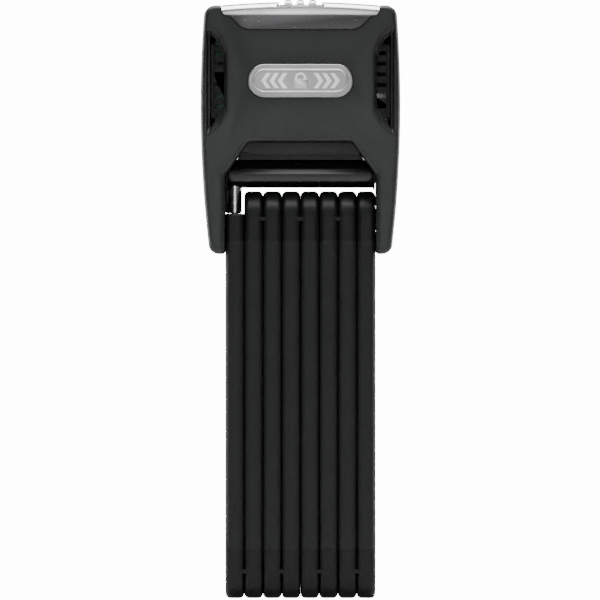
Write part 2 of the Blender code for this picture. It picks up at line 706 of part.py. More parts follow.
def front_shell():
    """The front half of the lock body."""
    shell = shell_blank("front_shell", -1)
    flap = prism("flap", "Y", -BODY_HALF_DEPTH - WALL,
                 -BODY_HALF_DEPTH - CAP_PROUD + CAP_FLAP_THICK + FIT_GAP,
                 raised(flap_outline(FIT_GAP)))
    cutters = [cavity(-1), housing_hole(), cap_notch(), flap, badge_pocket()]
    cutters += [barrel_space(), bush_hole(-1), bush_hole(1), stud_slot()]
    cutters += window_cutters(-1) + window_cutters(1)
    cutters += [screw_hole(spot) for spot in screw_spots()]
    combine(shell, cutters)
    smooth(shell, 25)
    return coat(shell, (0.022, 0.024, 0.025), 0.38, 0.0)


def raised(outline):
    """Carry an open-topped outline up past the top of the body."""
    first, last = outline[0], outline[-1]
    return outline + [(last[0], last[1] + WALL), (first[0], first[1] + WALL)]


def door_outline(taken=0.0, foot=0.0):
    """The battery door in (x, z)."""
    half = DOOR_WIDTH / 2 - taken
    low = BATTERY_Z - DOOR_FOOT + taken + foot
    high = BATTERY_Z - DOOR_FOOT + DOOR_HEIGHT - taken
    return box_outline((BATTERY_X - half, BATTERY_X + half), (low, high))


def door_screw_z():
    """Height of the battery door's screw."""
    return BATTERY_Z - DOOR_FOOT / 2


def door_screw_seat():
    """Where the door screw's head sits, front to back."""
    return BODY_HALF_DEPTH - DOOR_SUNK - DOOR_THICK / 2


def rear_shell():
    """The rear half of the lock body, with the battery hatch and bolt channel."""
    shell = shell_blank("rear_shell", 1)
    seat_y = BODY_HALF_DEPTH - DOOR_SUNK - DOOR_THICK - FIT_GAP
    hatch = prism("hatch", "Y", CAVITY_HALF_DEPTH - WALL, BODY_HALF_DEPTH + WALL,
                  door_outline(DOOR_LEDGE, DOOR_FOOT - DOOR_LEDGE))
    seat = prism("seat", "Y", seat_y, BODY_HALF_DEPTH + WALL, door_outline(-FIT_GAP))
    combine(shell, [cavity(1), housing_hole(), cap_notch(), bush_hole(-1), bush_hole(1)])
    screw_boss = turned("boss", "Y", [(CAVITY_HALF_DEPTH - 2 * WALL, DOOR_FOOT / 2 - FIT_GAP),
                                      (CAVITY_HALF_DEPTH + FIT_GAP, DOOR_FOOT / 2 - FIT_GAP)],
                        MEDIUM, (BATTERY_X, door_screw_z()))
    combine(shell, [screw_boss], "UNION")
    way_end = door_screw_seat() - DOOR_SCREW_LENGTH - FIT_GAP
    screw_way = turned("hole", "Y", [(way_end, DOOR_SCREW_R + RUN_GAP),
                                     (BODY_HALF_DEPTH, DOOR_SCREW_R + RUN_GAP)],
                       SMALL, (BATTERY_X, door_screw_z()))
    cutters = [hatch, seat, screw_way, stud_slot(), bolt_channel()]
    cutters += [screw_hole(spot) for spot in screw_spots()]
    combine(shell, cutters)
    smooth(shell, 25)
    return coat(shell, (0.020, 0.021, 0.022), 0.42, 0.0)


def liner_outline(drop):
    """A strip under the arch in (x, z) that follows the front shoulders down by drop."""
    slope = (LEG_INNER - ARCH_TOP_HALF) / (ARCH_TOP_Z - ARCH_SHOULDER_Z)
    top = ARCH_TOP_Z - FIT_GAP
    half = ARCH_TOP_HALF - FIT_GAP
    return [(-half - slope * drop, top - drop), (half + slope * drop, top - drop), (half, top), (-half, top)]


def arch_liner():
    """The liner under the arch: a front lip, a web and a rib that closes the view over the barrel."""
    clear_r = BARREL_R + FIT_GAP
    rib_low = BARREL_Z + math.sqrt(clear_r ** 2 - LINER_RIB_HALF ** 2) + FIT_GAP
    rib_drop = ARCH_TOP_Z - FIT_GAP - rib_low
    lip_rear = LINER_FRONT_Y + LINER_THICK
    liner = prism("arch_liner", "Y", LINER_FRONT_Y, lip_rear, liner_outline(LINER_DROP))
    web = prism("web", "Y", LINER_FRONT_Y, LINER_RIB_HALF, liner_outline(LINER_THICK / 2))
    rib = prism("rib", "Y", -LINER_RIB_HALF, -FIT_GAP, liner_outline(rib_drop))
    combine(liner, [web, rib], "UNION")
    top = ARCH_TOP_Z - FIT_GAP
    slit = block("slit", (-ARCH_TOP_HALF - 0.0019, -ARCH_TOP_HALF), (2 * LINER_FRONT_Y, -LINER_RIB_HALF - WALL),
                 (top - 2 * LINER_DROP, top - LINER_DROP * 0.78))
    over_barrel = turned("relief", "X", [(-LEG_INNER, clear_r), (LEG_INNER, clear_r)], FINE, (0.0, BARREL_Z))
    combine(liner, [slit, over_barrel])
    smooth(liner)
    return coat(liner, (0.030, 0.032, 0.033), 0.5, 0.0)


def top_cap():
    """The metal cap: a crowned top plate with a flap down the front."""
    crown = []
    for i in range(1, 10):
        x = CAP_HALF * (1 - i / 5)
        crown.append((x, BODY_TOP_Z + CAP_CROWN * (1 - (x / CAP_HALF) ** 2)))
    outline = flap_outline() + crown
    front = -BODY_HALF_DEPTH - CAP_PROUD
    rear = BODY_HALF_DEPTH - 2 * FIT_GAP
    edge = 0.0007
    rings = [placed("Y", front, inset(outline, edge)), placed("Y", front + edge, outline),
             placed("Y", rear, outline)]
    cap = loft("top_cap", rings)
    deep = BODY_HALF_DEPTH * 1.2
    under = block("under", (-CAP_HALF - WALL, CAP_HALF + WALL), (front + CAP_FLAP_THICK, deep),
                  (CAP_FLAP_BOTTOM_Z - WALL, CAP_PLATE_BOTTOM_Z))
    lip_x = CHANNEL_HALF + CHANNEL_LIP
    lip_z = CHANNEL_FLOOR_Z + CHANNEL_LIP_HEIGHT
    channel = prism("channel", "Y", -deep, deep,
                    [(-lip_x, CHANNEL_FLOOR_Z), (lip_x, CHANNEL_FLOOR_Z), (lip_x, lip_z),
                     (CHANNEL_HALF, lip_z), (CHANNEL_HALF, BODY_TOP_Z + 2 * WALL),
                     (-CHANNEL_HALF, BODY_TOP_Z + 2 * WALL), (-CHANNEL_HALF, lip_z), (-lip_x, lip_z)])
    hole = turned("hole", "Z", [(CAP_PLATE_BOTTOM_Z - WALL, KEYHOLE_R), (BODY_TOP_Z + WALL, KEYHOLE_R)],
                  FINE, (0.0, CORE_Y))
    combine(cap, [under, channel, hole])
    smooth(cap, 25)
    return coat(cap, (0.62, 0.63, 0.65), 0.30, 1.0)


def keyhole_cover():
    """The ribbed slide that covers the keyhole."""
    half = CHANNEL_HALF - FIT_GAP
    lip = half + CHANNEL_LIP - FIT_GAP
    low = CHANNEL_FLOOR_Z + FIT_GAP
    lip_top = CHANNEL_FLOOR_Z + CHANNEL_LIP_HEIGHT - FIT_GAP
    outline = [(-lip, low), (lip, low), (lip, lip_top), (half, lip_top), (half, COVER_FLOOR_Z)]
    for i in (1, 0, -1):
        centre = i * COVER_RIB_PITCH
        outline += [(centre + COVER_RIB / 2, COVER_FLOOR_Z), (centre + COVER_RIB / 2 - 0.0006, COVER_TOP_Z),
                    (centre - COVER_RIB / 2 + 0.0006, COVER_TOP_Z), (centre - COVER_RIB / 2, COVER_FLOOR_Z)]
    outline += [(-half, COVER_FLOOR_Z), (-half, lip_top), (-lip, lip_top)]
    cover = prism("keyhole_cover", "Y", COVER_FRONT_Y, COVER_FRONT_Y + COVER_LENGTH, outline)
    return coat(cover, (0.60, 0.61, 0.63), 0.30, 1.0)


def badge_plate():
    """The oval badge with a raised ring."""
    back = -BODY_HALF_DEPTH + BADGE_POCKET - FIT_GAP
    face = back - BADGE_THICK
    lift = 0.0003
    ring_out = BADGE_RING_INSET + BADGE_RING_WIDTH
    profile = [(back, 0.0), (face + lift, 0.0), (face, lift), (face, BADGE_RING_INSET),
               (face - lift, BADGE_RING_INSET + lift / 3), (face - lift, ring_out - lift / 3), (face, ring_out)]
    rings = [placed("Y", at, capsule(BADGE_LENGTH / 2 - taken, BADGE_HEIGHT / 2 - taken, BADGE_Z))
             for at, taken in profile]
    badge = loft("badge_plate", rings)
    smooth(badge, 30)
    return coat(badge, (0.34, 0.345, 0.355), 0.34, 1.0)


def side_insert(name, side):
    """The grille strip behind one side window."""
    front = -CAVITY_HALF_DEPTH + FIT_GAP
    inner = WINDOW_INNER_X - 0.0008
    outer = CAVITY_HALF - FIT_GAP
    outline = [(inner, front), (outer - 0.0010, front), (outer - 0.0010, front - 0.0014),
               (outer - 0.0004, front - 0.0014), (outer - 0.0004, front),
               (outer, front), (outer, front + INSERT_THICK), (inner, front + INSERT_THICK)]
    strip = prism(name, "Z", WINDOW_BOTTOM_Z + 0.0062, CAVITY_STEP_Z - 0.0040,
                  [(side * x, y) for x, y in outline])
    slots = []
    for i in range(6):
        z = WINDOW_BOTTOM_Z + 0.0105 + 0.0045 * i
        ends = sorted((side * (inner + 0.0012), side * (outer - 0.0018)))
        slots.append(block("slot", ends, (front - WALL, front + WALL), (z, z + 0.0018)))
    combine(strip, slots)
    return coat(strip, (0.010, 0.010, 0.011), 0.6, 0.0)


# ---------------------------------------------------------------- lock work
def lock_case():
    """The open tray that guides the slider and carries the cylinder."""
    low, high = CASE_BOTTOM_Z, CAM_Z + CAM_THICK
    case = block("lock_case", (CASE_LEFT, CASE_RIGHT), (CASE_FRONT_Y, CASE_REAR_Y), (low, high))
    room = block("room", (CASE_LEFT + CASE_WALL, CASE_RIGHT + WALL),
                 (CASE_FRONT_Y + CASE_WALL, CASE_REAR_Y - CASE_WALL), (low + CASE_WALL, high + WALL))
    combine(case, [room])
    return coat(case, (0.45, 0.45, 0.44), 0.45, 1.0)


def cylinder_housing():
    """The fixed housing round the key cylinder."""
    low = CAM_Z + CAM_THICK + FIT_GAP
    bore = CYL_R + RUN_GAP
    stations = [(low, bore), (low, HOUSING_FLANGE_R), (low + HOUSING_FLANGE, HOUSING_FLANGE_R),
                (low + HOUSING_FLANGE, HOUSING_R), (HOUSING_TOP_Z, HOUSING_R), (HOUSING_TOP_Z, bore)]
    housing = turned("cylinder_housing", "Z", stations, FINE, (0.0, CORE_Y), around=True)
    smooth(housing)
    return coat(housing, (0.55, 0.50, 0.36), 0.35, 1.0)


def cylinder_core():
    """The turning core with its keyway."""
    low = CAM_Z + CAM_THICK + FIT_GAP
    core = turned("cylinder_core", "Z", [(low, CYL_R), (HOUSING_TOP_Z, CYL_R)], FINE, (0.0, CORE_Y))
    keyway = block("keyway", (-0.0010, 0.0010), (CORE_Y - 0.0038, CORE_Y + 0.0038),
                   (HOUSING_TOP_Z - 0.0180, HOUSING_TOP_Z + WALL))
    combine(core, [keyway])
    smooth(core)
    return coat(core, (0.62, 0.52, 0.30), 0.30, 1.0)


def cam_disc():
    """The disc under the core, with the pin that drives the slider."""
    disc = turned("cam_disc", "Z", [(CAM_Z, CAM_R), (CAM_Z + CAM_THICK, CAM_R)], FINE, (0.0, CORE_Y))
    pin = turned("pin", "Z", [(SLIDER_BOTTOM_Z + FIT_GAP, CAM_PIN_R), (CAM_Z + FIT_GAP, CAM_PIN_R)],
                 MEDIUM, (CAM_PIN_X, CAM_PIN_Y))
    combine(disc, [pin], "UNION")
    smooth(disc)
    return coat(disc, (0.50, 0.51, 0.52), 0.35, 1.0)


def bolt_slider():
    """The slide: a yoke under the cam and a plate with the slanted slot."""
    yoke_x = CAM_PIN_R + YOKE_GAP
    low_y = CORE_Y + CAM_THROW * math.cos(math.radians(45)) - yoke_x
    high_y = CORE_Y + CAM_THROW + yoke_x
    margin = 0.0036
    rear = max(high_y + 0.0014, SLIDER_PLATE_Y + SLIDER_PLATE_THICK)
    slope_left = CROSS_X - SLIDE_TRAVEL
    slot_half = CROSS_R + YOKE_GAP
    plate_x = (slope_left - slot_half - 0.0022, CROSS_X + slot_half + 0.0022)
    plate_z = (CROSS_Z - SLIDE_TRAVEL - slot_half - 0.0010, SLIDER_TOP_Z)
    slider = block("bolt_slider", (CAM_PIN_X - yoke_x - margin, plate_x[1]),
                   (low_y - margin, rear), (SLIDER_BOTTOM_Z, SLIDER_TOP_Z))
    plate = block("plate", plate_x, (SLIDER_PLATE_Y, SLIDER_PLATE_Y + SLIDER_PLATE_THICK), plate_z)
    combine(slider, [plate], "UNION")
    yoke = block("yoke", (CAM_PIN_X - yoke_x, CAM_PIN_X + yoke_x), (low_y - YOKE_GAP, high_y + YOKE_GAP),
                 (SLIDER_BOTTOM_Z - WALL / 2, SLIDER_TOP_Z + WALL))
    slot = prism("slot", "Y", SLIDER_PLATE_Y - WALL / 2, SLIDER_PLATE_Y + SLIDER_PLATE_THICK + WALL / 2,
                 slanted_slot(slope_left, CROSS_Z - SLIDE_TRAVEL, slot_half))
    combine(slider, [yoke, slot])
    smooth(slider)
    return coat(slider, (0.48, 0.49, 0.50), 0.38, 1.0)


def slanted_slot(low_x, low_z, radius):
    """A slot with round ends rising at 45 degrees in (x, z)."""
    half = SMALL // 2
    points = []
    for i in range(half + 1):
        angle = math.radians(-45 + 180 * i / half)
        points.append((CROSS_X + radius * math.cos(angle), CROSS_Z + radius * math.sin(angle)))
    for i in range(half + 1):
        angle = math.radians(135 + 180 * i / half)
        points.append((low_x + radius * math.cos(angle), low_z + radius * math.sin(angle)))
    return points


def locking_bolt():
    """The upright bolt with the arm that carries its cross pin."""
    left, right = BOLT_X - BOLT_WIDTH / 2, BOLT_X + BOLT_WIDTH / 2
    arm_low, arm_high = CROSS_Z - BOLT_ARM / 2, CROSS_Z + BOLT_ARM / 2
    arm_left = CROSS_X - 2 * CROSS_R
    outline = [(arm_left, arm_low), (left, arm_low), (left, BOLT_TIP_Z + 0.0010), (left + 0.0010, BOLT_TIP_Z),
               (right - 0.0010, BOLT_TIP_Z), (right, BOLT_TIP_Z + 0.0010), (right, arm_high), (arm_left, arm_high)]
    bolt = prism("locking_bolt", "Y", BOLT_Y, BOLT_Y + BOLT_DEPTH, outline)
    hole = turned("hole", "Y", [(BOLT_Y - WALL / 2, CROSS_R + RUN_GAP), (BOLT_Y + BOLT_DEPTH - 0.0010,
                                                                     CROSS_R + RUN_GAP)],
                  MEDIUM, (CROSS_X, CROSS_Z))
    combine(bolt, [hole])
    return coat(bolt, (0.50, 0.51, 0.53), 0.30, 1.0)


def bolt_cross_pin():
    """The pin that joins the bolt to the slider's slot."""
    pin = turned("bolt_cross_pin", "Y", [(SLIDER_PLATE_Y + FIT_GAP, CROSS_R),
                                         (BOLT_Y + BOLT_DEPTH - 0.0010 - FIT_GAP, CROSS_R)],
                 MEDIUM, (CROSS_X, CROSS_Z))
    smooth(pin)
    return coat(pin, (0.60, 0.61, 0.62), 0.28, 1.0)


# ---------------------------------------------------------------- alarm and screws
def battery():
    """The alarm's round cell, standing up."""
    cell = turned("battery", "Z", [(BATTERY_Z, BATTERY_R), (BATTERY_Z + BATTERY_LENGTH, BATTERY_R),
                                   (BATTERY_Z + BATTERY_LENGTH, BATTERY_R / 3),
                                   (BATTERY_Z + BATTERY_LENGTH + 0.0012, BATTERY_R / 3)],
                  FINE, (BATTERY_X, BATTERY_Y))
    smooth(cell)
    return coat(cell, (0.10, 0.22, 0.42), 0.35, 0.0)


def circuit_board():
    """The alarm's board, upright in front of the cell."""
    board = block("circuit_board", (BATTERY_X - BOARD_WIDTH / 2, BATTERY_X + BOARD_WIDTH / 2),
                  (BOARD_Y, BOARD_Y + BOARD_THICK), (BATTERY_Z - 0.0080, BATTERY_Z - 0.0080 + BOARD_HEIGHT))
    return coat(board, (0.02, 0.16, 0.07), 0.45, 0.0)


def piezo_sounder():
    """The alarm's sounder on the front of the board."""
    rear = BOARD_Y - FIT_GAP
    front = rear - SOUNDER_THICK
    sounder = turned("piezo_sounder", "Y", [(rear, SOUNDER_R), (front, SOUNDER_R), (front, SOUNDER_R / 5),
                                            (front + SOUNDER_THICK / 2, SOUNDER_R / 5)],
                     FINE, (BATTERY_X - 0.0004, SOUNDER_Z))
    smooth(sounder)
    return coat(sounder, (0.015, 0.015, 0.016), 0.5, 0.0)


def battery_door():
    """The hatch over the cell, flush in the rear face."""
    rear = BODY_HALF_DEPTH - DOOR_SUNK
    door = prism("battery_door", "Y", rear - DOOR_THICK, rear, door_outline())
    way = turned("hole", "Y", [(rear - 2 * DOOR_THICK, DOOR_SCREW_R + RUN_GAP),
                               (rear - DOOR_THICK / 2, DOOR_SCREW_R + RUN_GAP),
                               (rear - DOOR_THICK / 2, DOOR_SCREW_HEAD_R + FIT_GAP),
                               (rear + WALL, DOOR_SCREW_HEAD_R + FIT_GAP)],
                 SMALL, (BATTERY_X, door_screw_z()))
    combine(door, [way])
    return coat(door, (0.021, 0.022, 0.023), 0.45, 0.0)


def battery_door_screw():
    """The small screw that holds the battery door."""
    seat = door_screw_seat()
    screw = turned("battery_door_screw", "Y",
                   [(seat - DOOR_SCREW_LENGTH, DOOR_SCREW_R), (seat + SIDE_GAP, DOOR_SCREW_R),
                    (seat + SIDE_GAP, DOOR_SCREW_HEAD_R), (seat + SIDE_GAP + 0.0005, DOOR_SCREW_HEAD_R)],
                   SMALL, (BATTERY_X, door_screw_z()))
    smooth(screw)
    return coat(screw, (0.50, 0.51, 0.52), 0.35, 1.0)


def housing_screw(number, spot):
    """One of the screws that hold the two shells together."""
    top = BODY_HALF_DEPTH - SCREW_SUNK
    seat = top - SCREW_HEAD
    screw = turned("housing_screw_%d" % number, "Y",
                   [(SCREW_TIP_Y, SCREW_R), (seat, SCREW_R), (seat, SCREW_HEAD_R), (top, SCREW_HEAD_R)],
                   MEDIUM, spot)
    socket = turned("socket", "Y", [(seat + SIDE_GAP, 0.0011), (top + WALL, 0.0011)], 6, spot)
    combine(screw, [socket])
    smooth(screw)
    return coat(screw, (0.28, 0.28, 0.29), 0.35, 1.0)


def bar_joint(number):
    """The point a bar turns about: the barrel for the first, else the rivet before it."""
    if number == 1:
        return (0.0, 0.0, BARREL_Z)
    z = PIVOT_LOW if number % 2 == 0 else PIVOT_HIGH
    return (bar_x(number) - BAR_PITCH / 2, 0.0, z)


def build_bars():
    """The bars, the rivets that join them and the stud on the last one."""
    for number in range(1, BAR_COUNT + 1):
        joint = bar_joint(number)
        seat(bar_core(number), joint)
        seat(bar_coating(number), joint)
        seat(bar_sleeve(number), joint)
        if number < BAR_COUNT:
            seat(rivet(number), joint)
        else:
            seat(locking_stud(), joint)


def build_barrel():
    """The barrel, its pin and its two bushes."""
    seat(swing_barrel(), (0.0, 0.0, BARREL_Z))
    seat(swivel_pin(), (0.0, 0.0, BARREL_Z))
    barrel_bush("barrel_bush_left", -1)
    barrel_bush("barrel_bush_right", 1)


def build_body():
    """The shells and what is fixed to them."""
    front_shell()
    rear_shell()
    arch_liner()
    top_cap()
    seat(keyhole_cover(), (0.0, COVER_FRONT_Y, COVER_FLOOR_Z))
    badge_plate()
    side_insert("side_insert_left", -1)
    side_insert("side_insert_right", 1)
    for number, spot in enumerate(screw_spots(), 1):
        housing_screw(number, spot)


def build_lock_work():
    """The cylinder, its cam, the slider and the bolt."""
    lock_case()
    cylinder_housing()
    seat(cylinder_core(), (0.0, CORE_Y, HOUSING_TOP_Z))
    seat(cam_disc(), (0.0, CORE_Y, CAM_Z))
    seat(bolt_slider(), (CAM_PIN_X, CAM_PIN_Y, SLIDER_TOP_Z))
    seat(locking_bolt(), (BOLT_X, BOLT_Y, BOLT_TIP_Z))
    seat(bolt_cross_pin(), (CROSS_X, BOLT_Y, CROSS_Z))


def build_alarm():
    """The cell, the board, the sounder and the hatch."""
    battery()
    circuit_board()
    piezo_sounder()
    battery_door()
    battery_door_screw()


def build():
    """Make every piece of the lock and bring the rear face's middle to the origin."""
    clear_scene()
    build_bars()
    build_barrel()
    build_body()
    build_lock_work()
    build_alarm()
    for item in bpy.data.objects:
        item.location -= Vector((0.0, BODY_HALF_DEPTH, CARRIER_Z))


build()
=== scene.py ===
"""Looks of the folding bar lock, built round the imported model.

Metres, +Z up, the front faces -Y. The origin is the middle of the rear face.
"""
import math

import bmesh
import bpy
from mathutils import Matrix, Vector


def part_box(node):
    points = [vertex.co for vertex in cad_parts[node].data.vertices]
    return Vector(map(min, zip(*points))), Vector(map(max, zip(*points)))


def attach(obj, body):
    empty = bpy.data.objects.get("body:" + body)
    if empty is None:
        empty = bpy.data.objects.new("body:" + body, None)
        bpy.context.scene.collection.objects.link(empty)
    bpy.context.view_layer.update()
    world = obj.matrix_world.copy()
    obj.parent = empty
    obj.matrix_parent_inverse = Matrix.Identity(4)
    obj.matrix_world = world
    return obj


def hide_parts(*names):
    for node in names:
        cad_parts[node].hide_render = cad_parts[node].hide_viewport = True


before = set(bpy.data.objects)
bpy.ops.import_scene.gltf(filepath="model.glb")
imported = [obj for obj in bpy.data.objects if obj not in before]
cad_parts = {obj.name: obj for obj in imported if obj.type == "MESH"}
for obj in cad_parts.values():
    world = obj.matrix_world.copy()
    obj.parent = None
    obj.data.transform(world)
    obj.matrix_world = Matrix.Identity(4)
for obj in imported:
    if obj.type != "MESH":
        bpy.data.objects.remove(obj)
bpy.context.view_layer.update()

MM = 0.001
BARS = range(1, 9)


# ------------------------------------------------------------------ shader writing
class Value:
    """A socket that can stand in a sum."""

    def __init__(self, paint, socket):
        self.paint = paint
        self.socket = socket

    def sum(self, operation, *others):
        """One Math node over this value and others."""
        return self.paint.node("ShaderNodeMath", {"operation": operation}, *([self] + list(others)))

    def __add__(self, other):
        return self.sum("ADD", other)

    def __radd__(self, other):
        return self.sum("ADD", other)

    def __mul__(self, other):
        return self.sum("MULTIPLY", other)

    def __rmul__(self, other):
        return self.sum("MULTIPLY", other)

    def __sub__(self, other):
        return self.sum("SUBTRACT", other)

    def __rsub__(self, other):
        return self.paint.node("ShaderNodeMath", {"operation": "SUBTRACT"}, other, self)

    def __truediv__(self, other):
        return self.sum("DIVIDE", other)

    def power(self, other):
        """This value raised to a power."""
        return self.sum("POWER", other)

    def ramp(self, low, high):
        """0 below low, 1 above high and smooth between."""
        settings = {"interpolation_type": "SMOOTHSTEP"}
        return self.paint.node("ShaderNodeMapRange", settings, self, low, high, 0.0, 1.0)


class Paint:
    """One node tree being written: a material's or the world's."""

    def __init__(self, tree):
        self.tree = tree

    def node(self, kind, settings, *values, out=0, **named):
        """Add a node: its settings first, then its sockets by order or by name."""
        made = self.tree.nodes.new(kind)
        for key, setting in settings.items():
            if key == "stops":
                self.stops(made.color_ramp, setting)
            else:
                setattr(made, key, setting)
        for index, value in enumerate(values):
            self.feed(made.inputs[index], value)
        for key, value in named.items():
            self.feed(made.inputs[key.replace("_", " ")], value)
        return Value(self, made.outputs[out])

    def stops(self, ramp, stops):
        """Set a colour ramp's stops."""
        while len(ramp.elements) < len(stops):
            ramp.elements.new(0.5)
        for element, (place, colour) in zip(ramp.elements, stops):
            element.position = place
            element.color = (*colour, 1.0)

    def feed(self, socket, value):
        """Link a value to a socket, or set the socket."""
        if isinstance(value, Value):
            self.tree.links.new(value.socket, socket)
        elif isinstance(value, (tuple, list)) and len(value) == 3 and socket.type == "RGBA":
            socket.default_value = (*value, 1.0)
        else:
            socket.default_value = value

    def place(self):
        """Where a point is on the object."""
        return self.node("ShaderNodeTexCoord", {}, out=3)

    def stretched(self, scale):
        """The place, scaled differently along each axis."""
        return self.node("ShaderNodeVectorMath", {"operation": "MULTIPLY"}, self.place(), scale)

    def cloud(self, scale, detail=3.0, roughness=0.55, stretch=(1.0, 1.0, 1.0)):
        """Soft noise from 0 to 1, so many to the metre."""
        return self.node("ShaderNodeTexNoise", {}, Vector=self.stretched(stretch), Scale=scale,
                         Detail=detail, Roughness=roughness)

    def cells(self, scale):
        """Distance to scattered points, for a moulded grain."""
        return self.node("ShaderNodeTexVoronoi", {}, Vector=self.place(), Scale=scale)

    def mix(self, factor, first, second):
        """A colour between two colours."""
        made = self.tree.nodes.new("ShaderNodeMix")
        made.data_type = "RGBA"
        self.feed(made.inputs[0], factor)
        self.feed(made.inputs[6], first)
        self.feed(made.inputs[7], second)
        return Value(self, made.outputs[2])

    def bump(self, height, strength, distance):
        """Turn a height into a normal."""
        return self.node("ShaderNodeBump", {}, Strength=strength, Distance=distance, Height=height)


class Finish(Paint):
    """A material with one Principled shader."""

    def __init__(self, name, metallic=0.0, coat=0.0, coat_roughness=0.1, specular=0.5):
        self.material = bpy.data.materials.new(name)
        self.material.use_nodes = True
        super().__init__(self.material.node_tree)
        self.shader = self.tree.nodes["Principled BSDF"]
        self.shader.inputs["Metallic"].default_value = metallic
        self.shader.inputs["Coat Weight"].default_value = coat
        self.shader.inputs["Coat Roughness"].default_value = coat_roughness
        self.shader.inputs["Specular IOR Level"].default_value = specular

    def surface(self, colour, roughness, normal=None):
        """Feed what changes over the surface."""
        self.feed(self.shader.inputs["Base Color"], colour)
        self.feed(self.shader.inputs["Roughness"], roughness)
        if normal is not None:
            self.feed(self.shader.inputs["Normal"], normal)
        return self.material


def moulded_plastic(name, dark, light, rough, grain=3200.0, depth=0.00003, specular=0.5, painted_shading_heights=None):
    """Black moulded plastic with a fine grain, faint clouds and rubs; below the given heights it is painted
    greyer, painted light standing in for the brighter light on the lower front face.
    """
    paint = Finish(name, specular=specular)
    mist = paint.cloud(45.0, 4.0)
    rub = paint.cloud(420.0, 5.0, 0.7).ramp(0.56, 0.74)
    scuff = paint.cloud(900.0, 2.0, 0.5, (1.0, 1.0, 0.12)).ramp(0.62, 0.70)
    pits = paint.cells(grain)
    fine = paint.cloud(grain * 2.1, 2.0)
    colour = paint.mix(mist, dark, light)
    # painted light: the lower part is coloured lighter, standing in for light falling brighter on the lower
    # front face
    if painted_shading_heights:
        height = paint.node("ShaderNodeSeparateXYZ", {}, paint.place(), out=2)
        colour = paint.mix(1.0 - height.ramp(*painted_shading_heights), colour, [part * 2.0 for part in light])
    worn = paint.mix(scuff * 0.25, colour, [min(1.0, part * 2.2) for part in light])
    roughness = rough + (mist - 0.5) * 0.14 - rub * 0.07 + scuff * 0.10
    return paint.surface(worn, roughness, paint.bump(pits * 0.7 + fine * 0.5, 0.35, depth))


def soft_sleeve():
    """The soft grey-black skin of the bars: dull, slightly dusty, with drawn lines along the bar."""
    paint = Finish("soft_sleeve_skin", specular=0.35)
    drawn = paint.cloud(1600.0, 3.0, 0.6, (1.0, 1.0, 0.02))
    dust = paint.cloud(260.0, 5.0, 0.7).ramp(0.50, 0.80)
    mist = paint.cloud(30.0, 3.0)
    grain = paint.cloud(5200.0, 3.0, 0.6)
    colour = paint.mix(mist, (0.0050, 0.0058, 0.0061), (0.0080, 0.0090, 0.0094))
    dusty = paint.mix(dust * 0.30, colour, (0.020, 0.0212, 0.0210))
    roughness = 0.52 + (drawn - 0.5) * 0.12 + dust * 0.10
    return paint.surface(dusty, roughness, paint.bump(grain * 0.6 + drawn * 0.8, 0.35, 0.00003))


def polished_steel(name, tint, rough, along):
    """Bright turned or ground steel with faint lines along one direction."""
    paint = Finish(name, metallic=1.0)
    lines = paint.cloud(2400.0, 3.0, 0.6, along)
    smear = paint.cloud(160.0, 4.0, 0.6)
    colour = paint.mix(smear, tint, [part * 0.84 for part in tint])
    roughness = rough + (lines - 0.5) * rough * 0.6 + smear.ramp(0.5, 0.8) * rough * 0.5
    return paint.surface(colour, roughness, paint.bump(lines, 0.12, 0.00001))


def satin_metal(name, tint, rough, grain=5200.0, painted_shading_heights=None):
    """Bead-blasted and plated metal: fine sparkle, clouds, a few handling marks; below the given heights it
    is painted darker, painted shade for the dark reflection on the front flap.
    """
    paint = Finish(name, metallic=1.0)
    bead = paint.cells(grain)
    mist = paint.cloud(70.0, 4.0)
    marks = paint.cloud(700.0, 3.0, 0.6, (0.2, 1.0, 1.0)).ramp(0.63, 0.72)
    colour = paint.mix(mist, tint, [part * 0.88 for part in tint])
    # painted shade: below these heights the colour is darkened, standing in for the front flap reflecting
    # darker surroundings
    if painted_shading_heights:
        height = paint.node("ShaderNodeSeparateXYZ", {}, paint.place(), out=2)
        colour = paint.mix(height.ramp(*painted_shading_heights), [part * 0.10 for part in tint], colour)
    marked = paint.mix(marks * 0.3, colour, [part * 0.7 for part in tint])
    roughness = rough + (mist - 0.5) * 0.10 + marks * 0.06
    return paint.surface(marked, roughness, paint.bump(bead, 0.18, 0.00002))


def cast_metal():
    """As-cast zinc: dull, mottled."""
    paint = Finish("cast_zinc", metallic=0.9)
    mottle = paint.cloud(600.0, 6.0, 0.7)
    skin = paint.cells(1500.0)
    colour = paint.mix(mottle, (0.34, 0.34, 0.33), (0.50, 0.50, 0.49))
    return paint.surface(colour, 0.42 + mottle * 0.2, paint.bump(mottle + skin * 0.5, 0.4, 0.00006))


def glossy_barrel():
    """Deep black gloss moulding with faint waviness and fine swirl marks."""
    paint = Finish("gloss_black_barrel", coat=0.25, coat_roughness=0.12)
    wave = paint.cloud(90.0, 2.0)
    swirl = paint.cloud(1500.0, 3.0, 0.6, (0.05, 1.0, 1.0))
    colour = paint.mix(wave, (0.004, 0.0045, 0.005), (0.007, 0.008, 0.0085))
    roughness = 0.16 + (swirl - 0.5) * 0.10 + wave * 0.05
    return paint.surface(colour, roughness, paint.bump(wave + swirl * 0.1, 0.05, 0.00004))


def board_green():
    """Solder-masked board with pale tracks."""
    paint = Finish("board_green", coat=0.4, coat_roughness=0.2)
    tracks = paint.node("ShaderNodeTexBrick", {"offset": 0.5}, Vector=paint.stretched((1.0, 0.0, 1.0)),
                        Scale=260.0, out=1)
    mist = paint.cloud(200.0)
    colour = paint.mix(tracks * 0.6, (0.012, 0.11, 0.045), (0.05, 0.26, 0.11))
    return paint.surface(colour, 0.35 + mist * 0.1, paint.bump(tracks, 0.3, 0.00003))


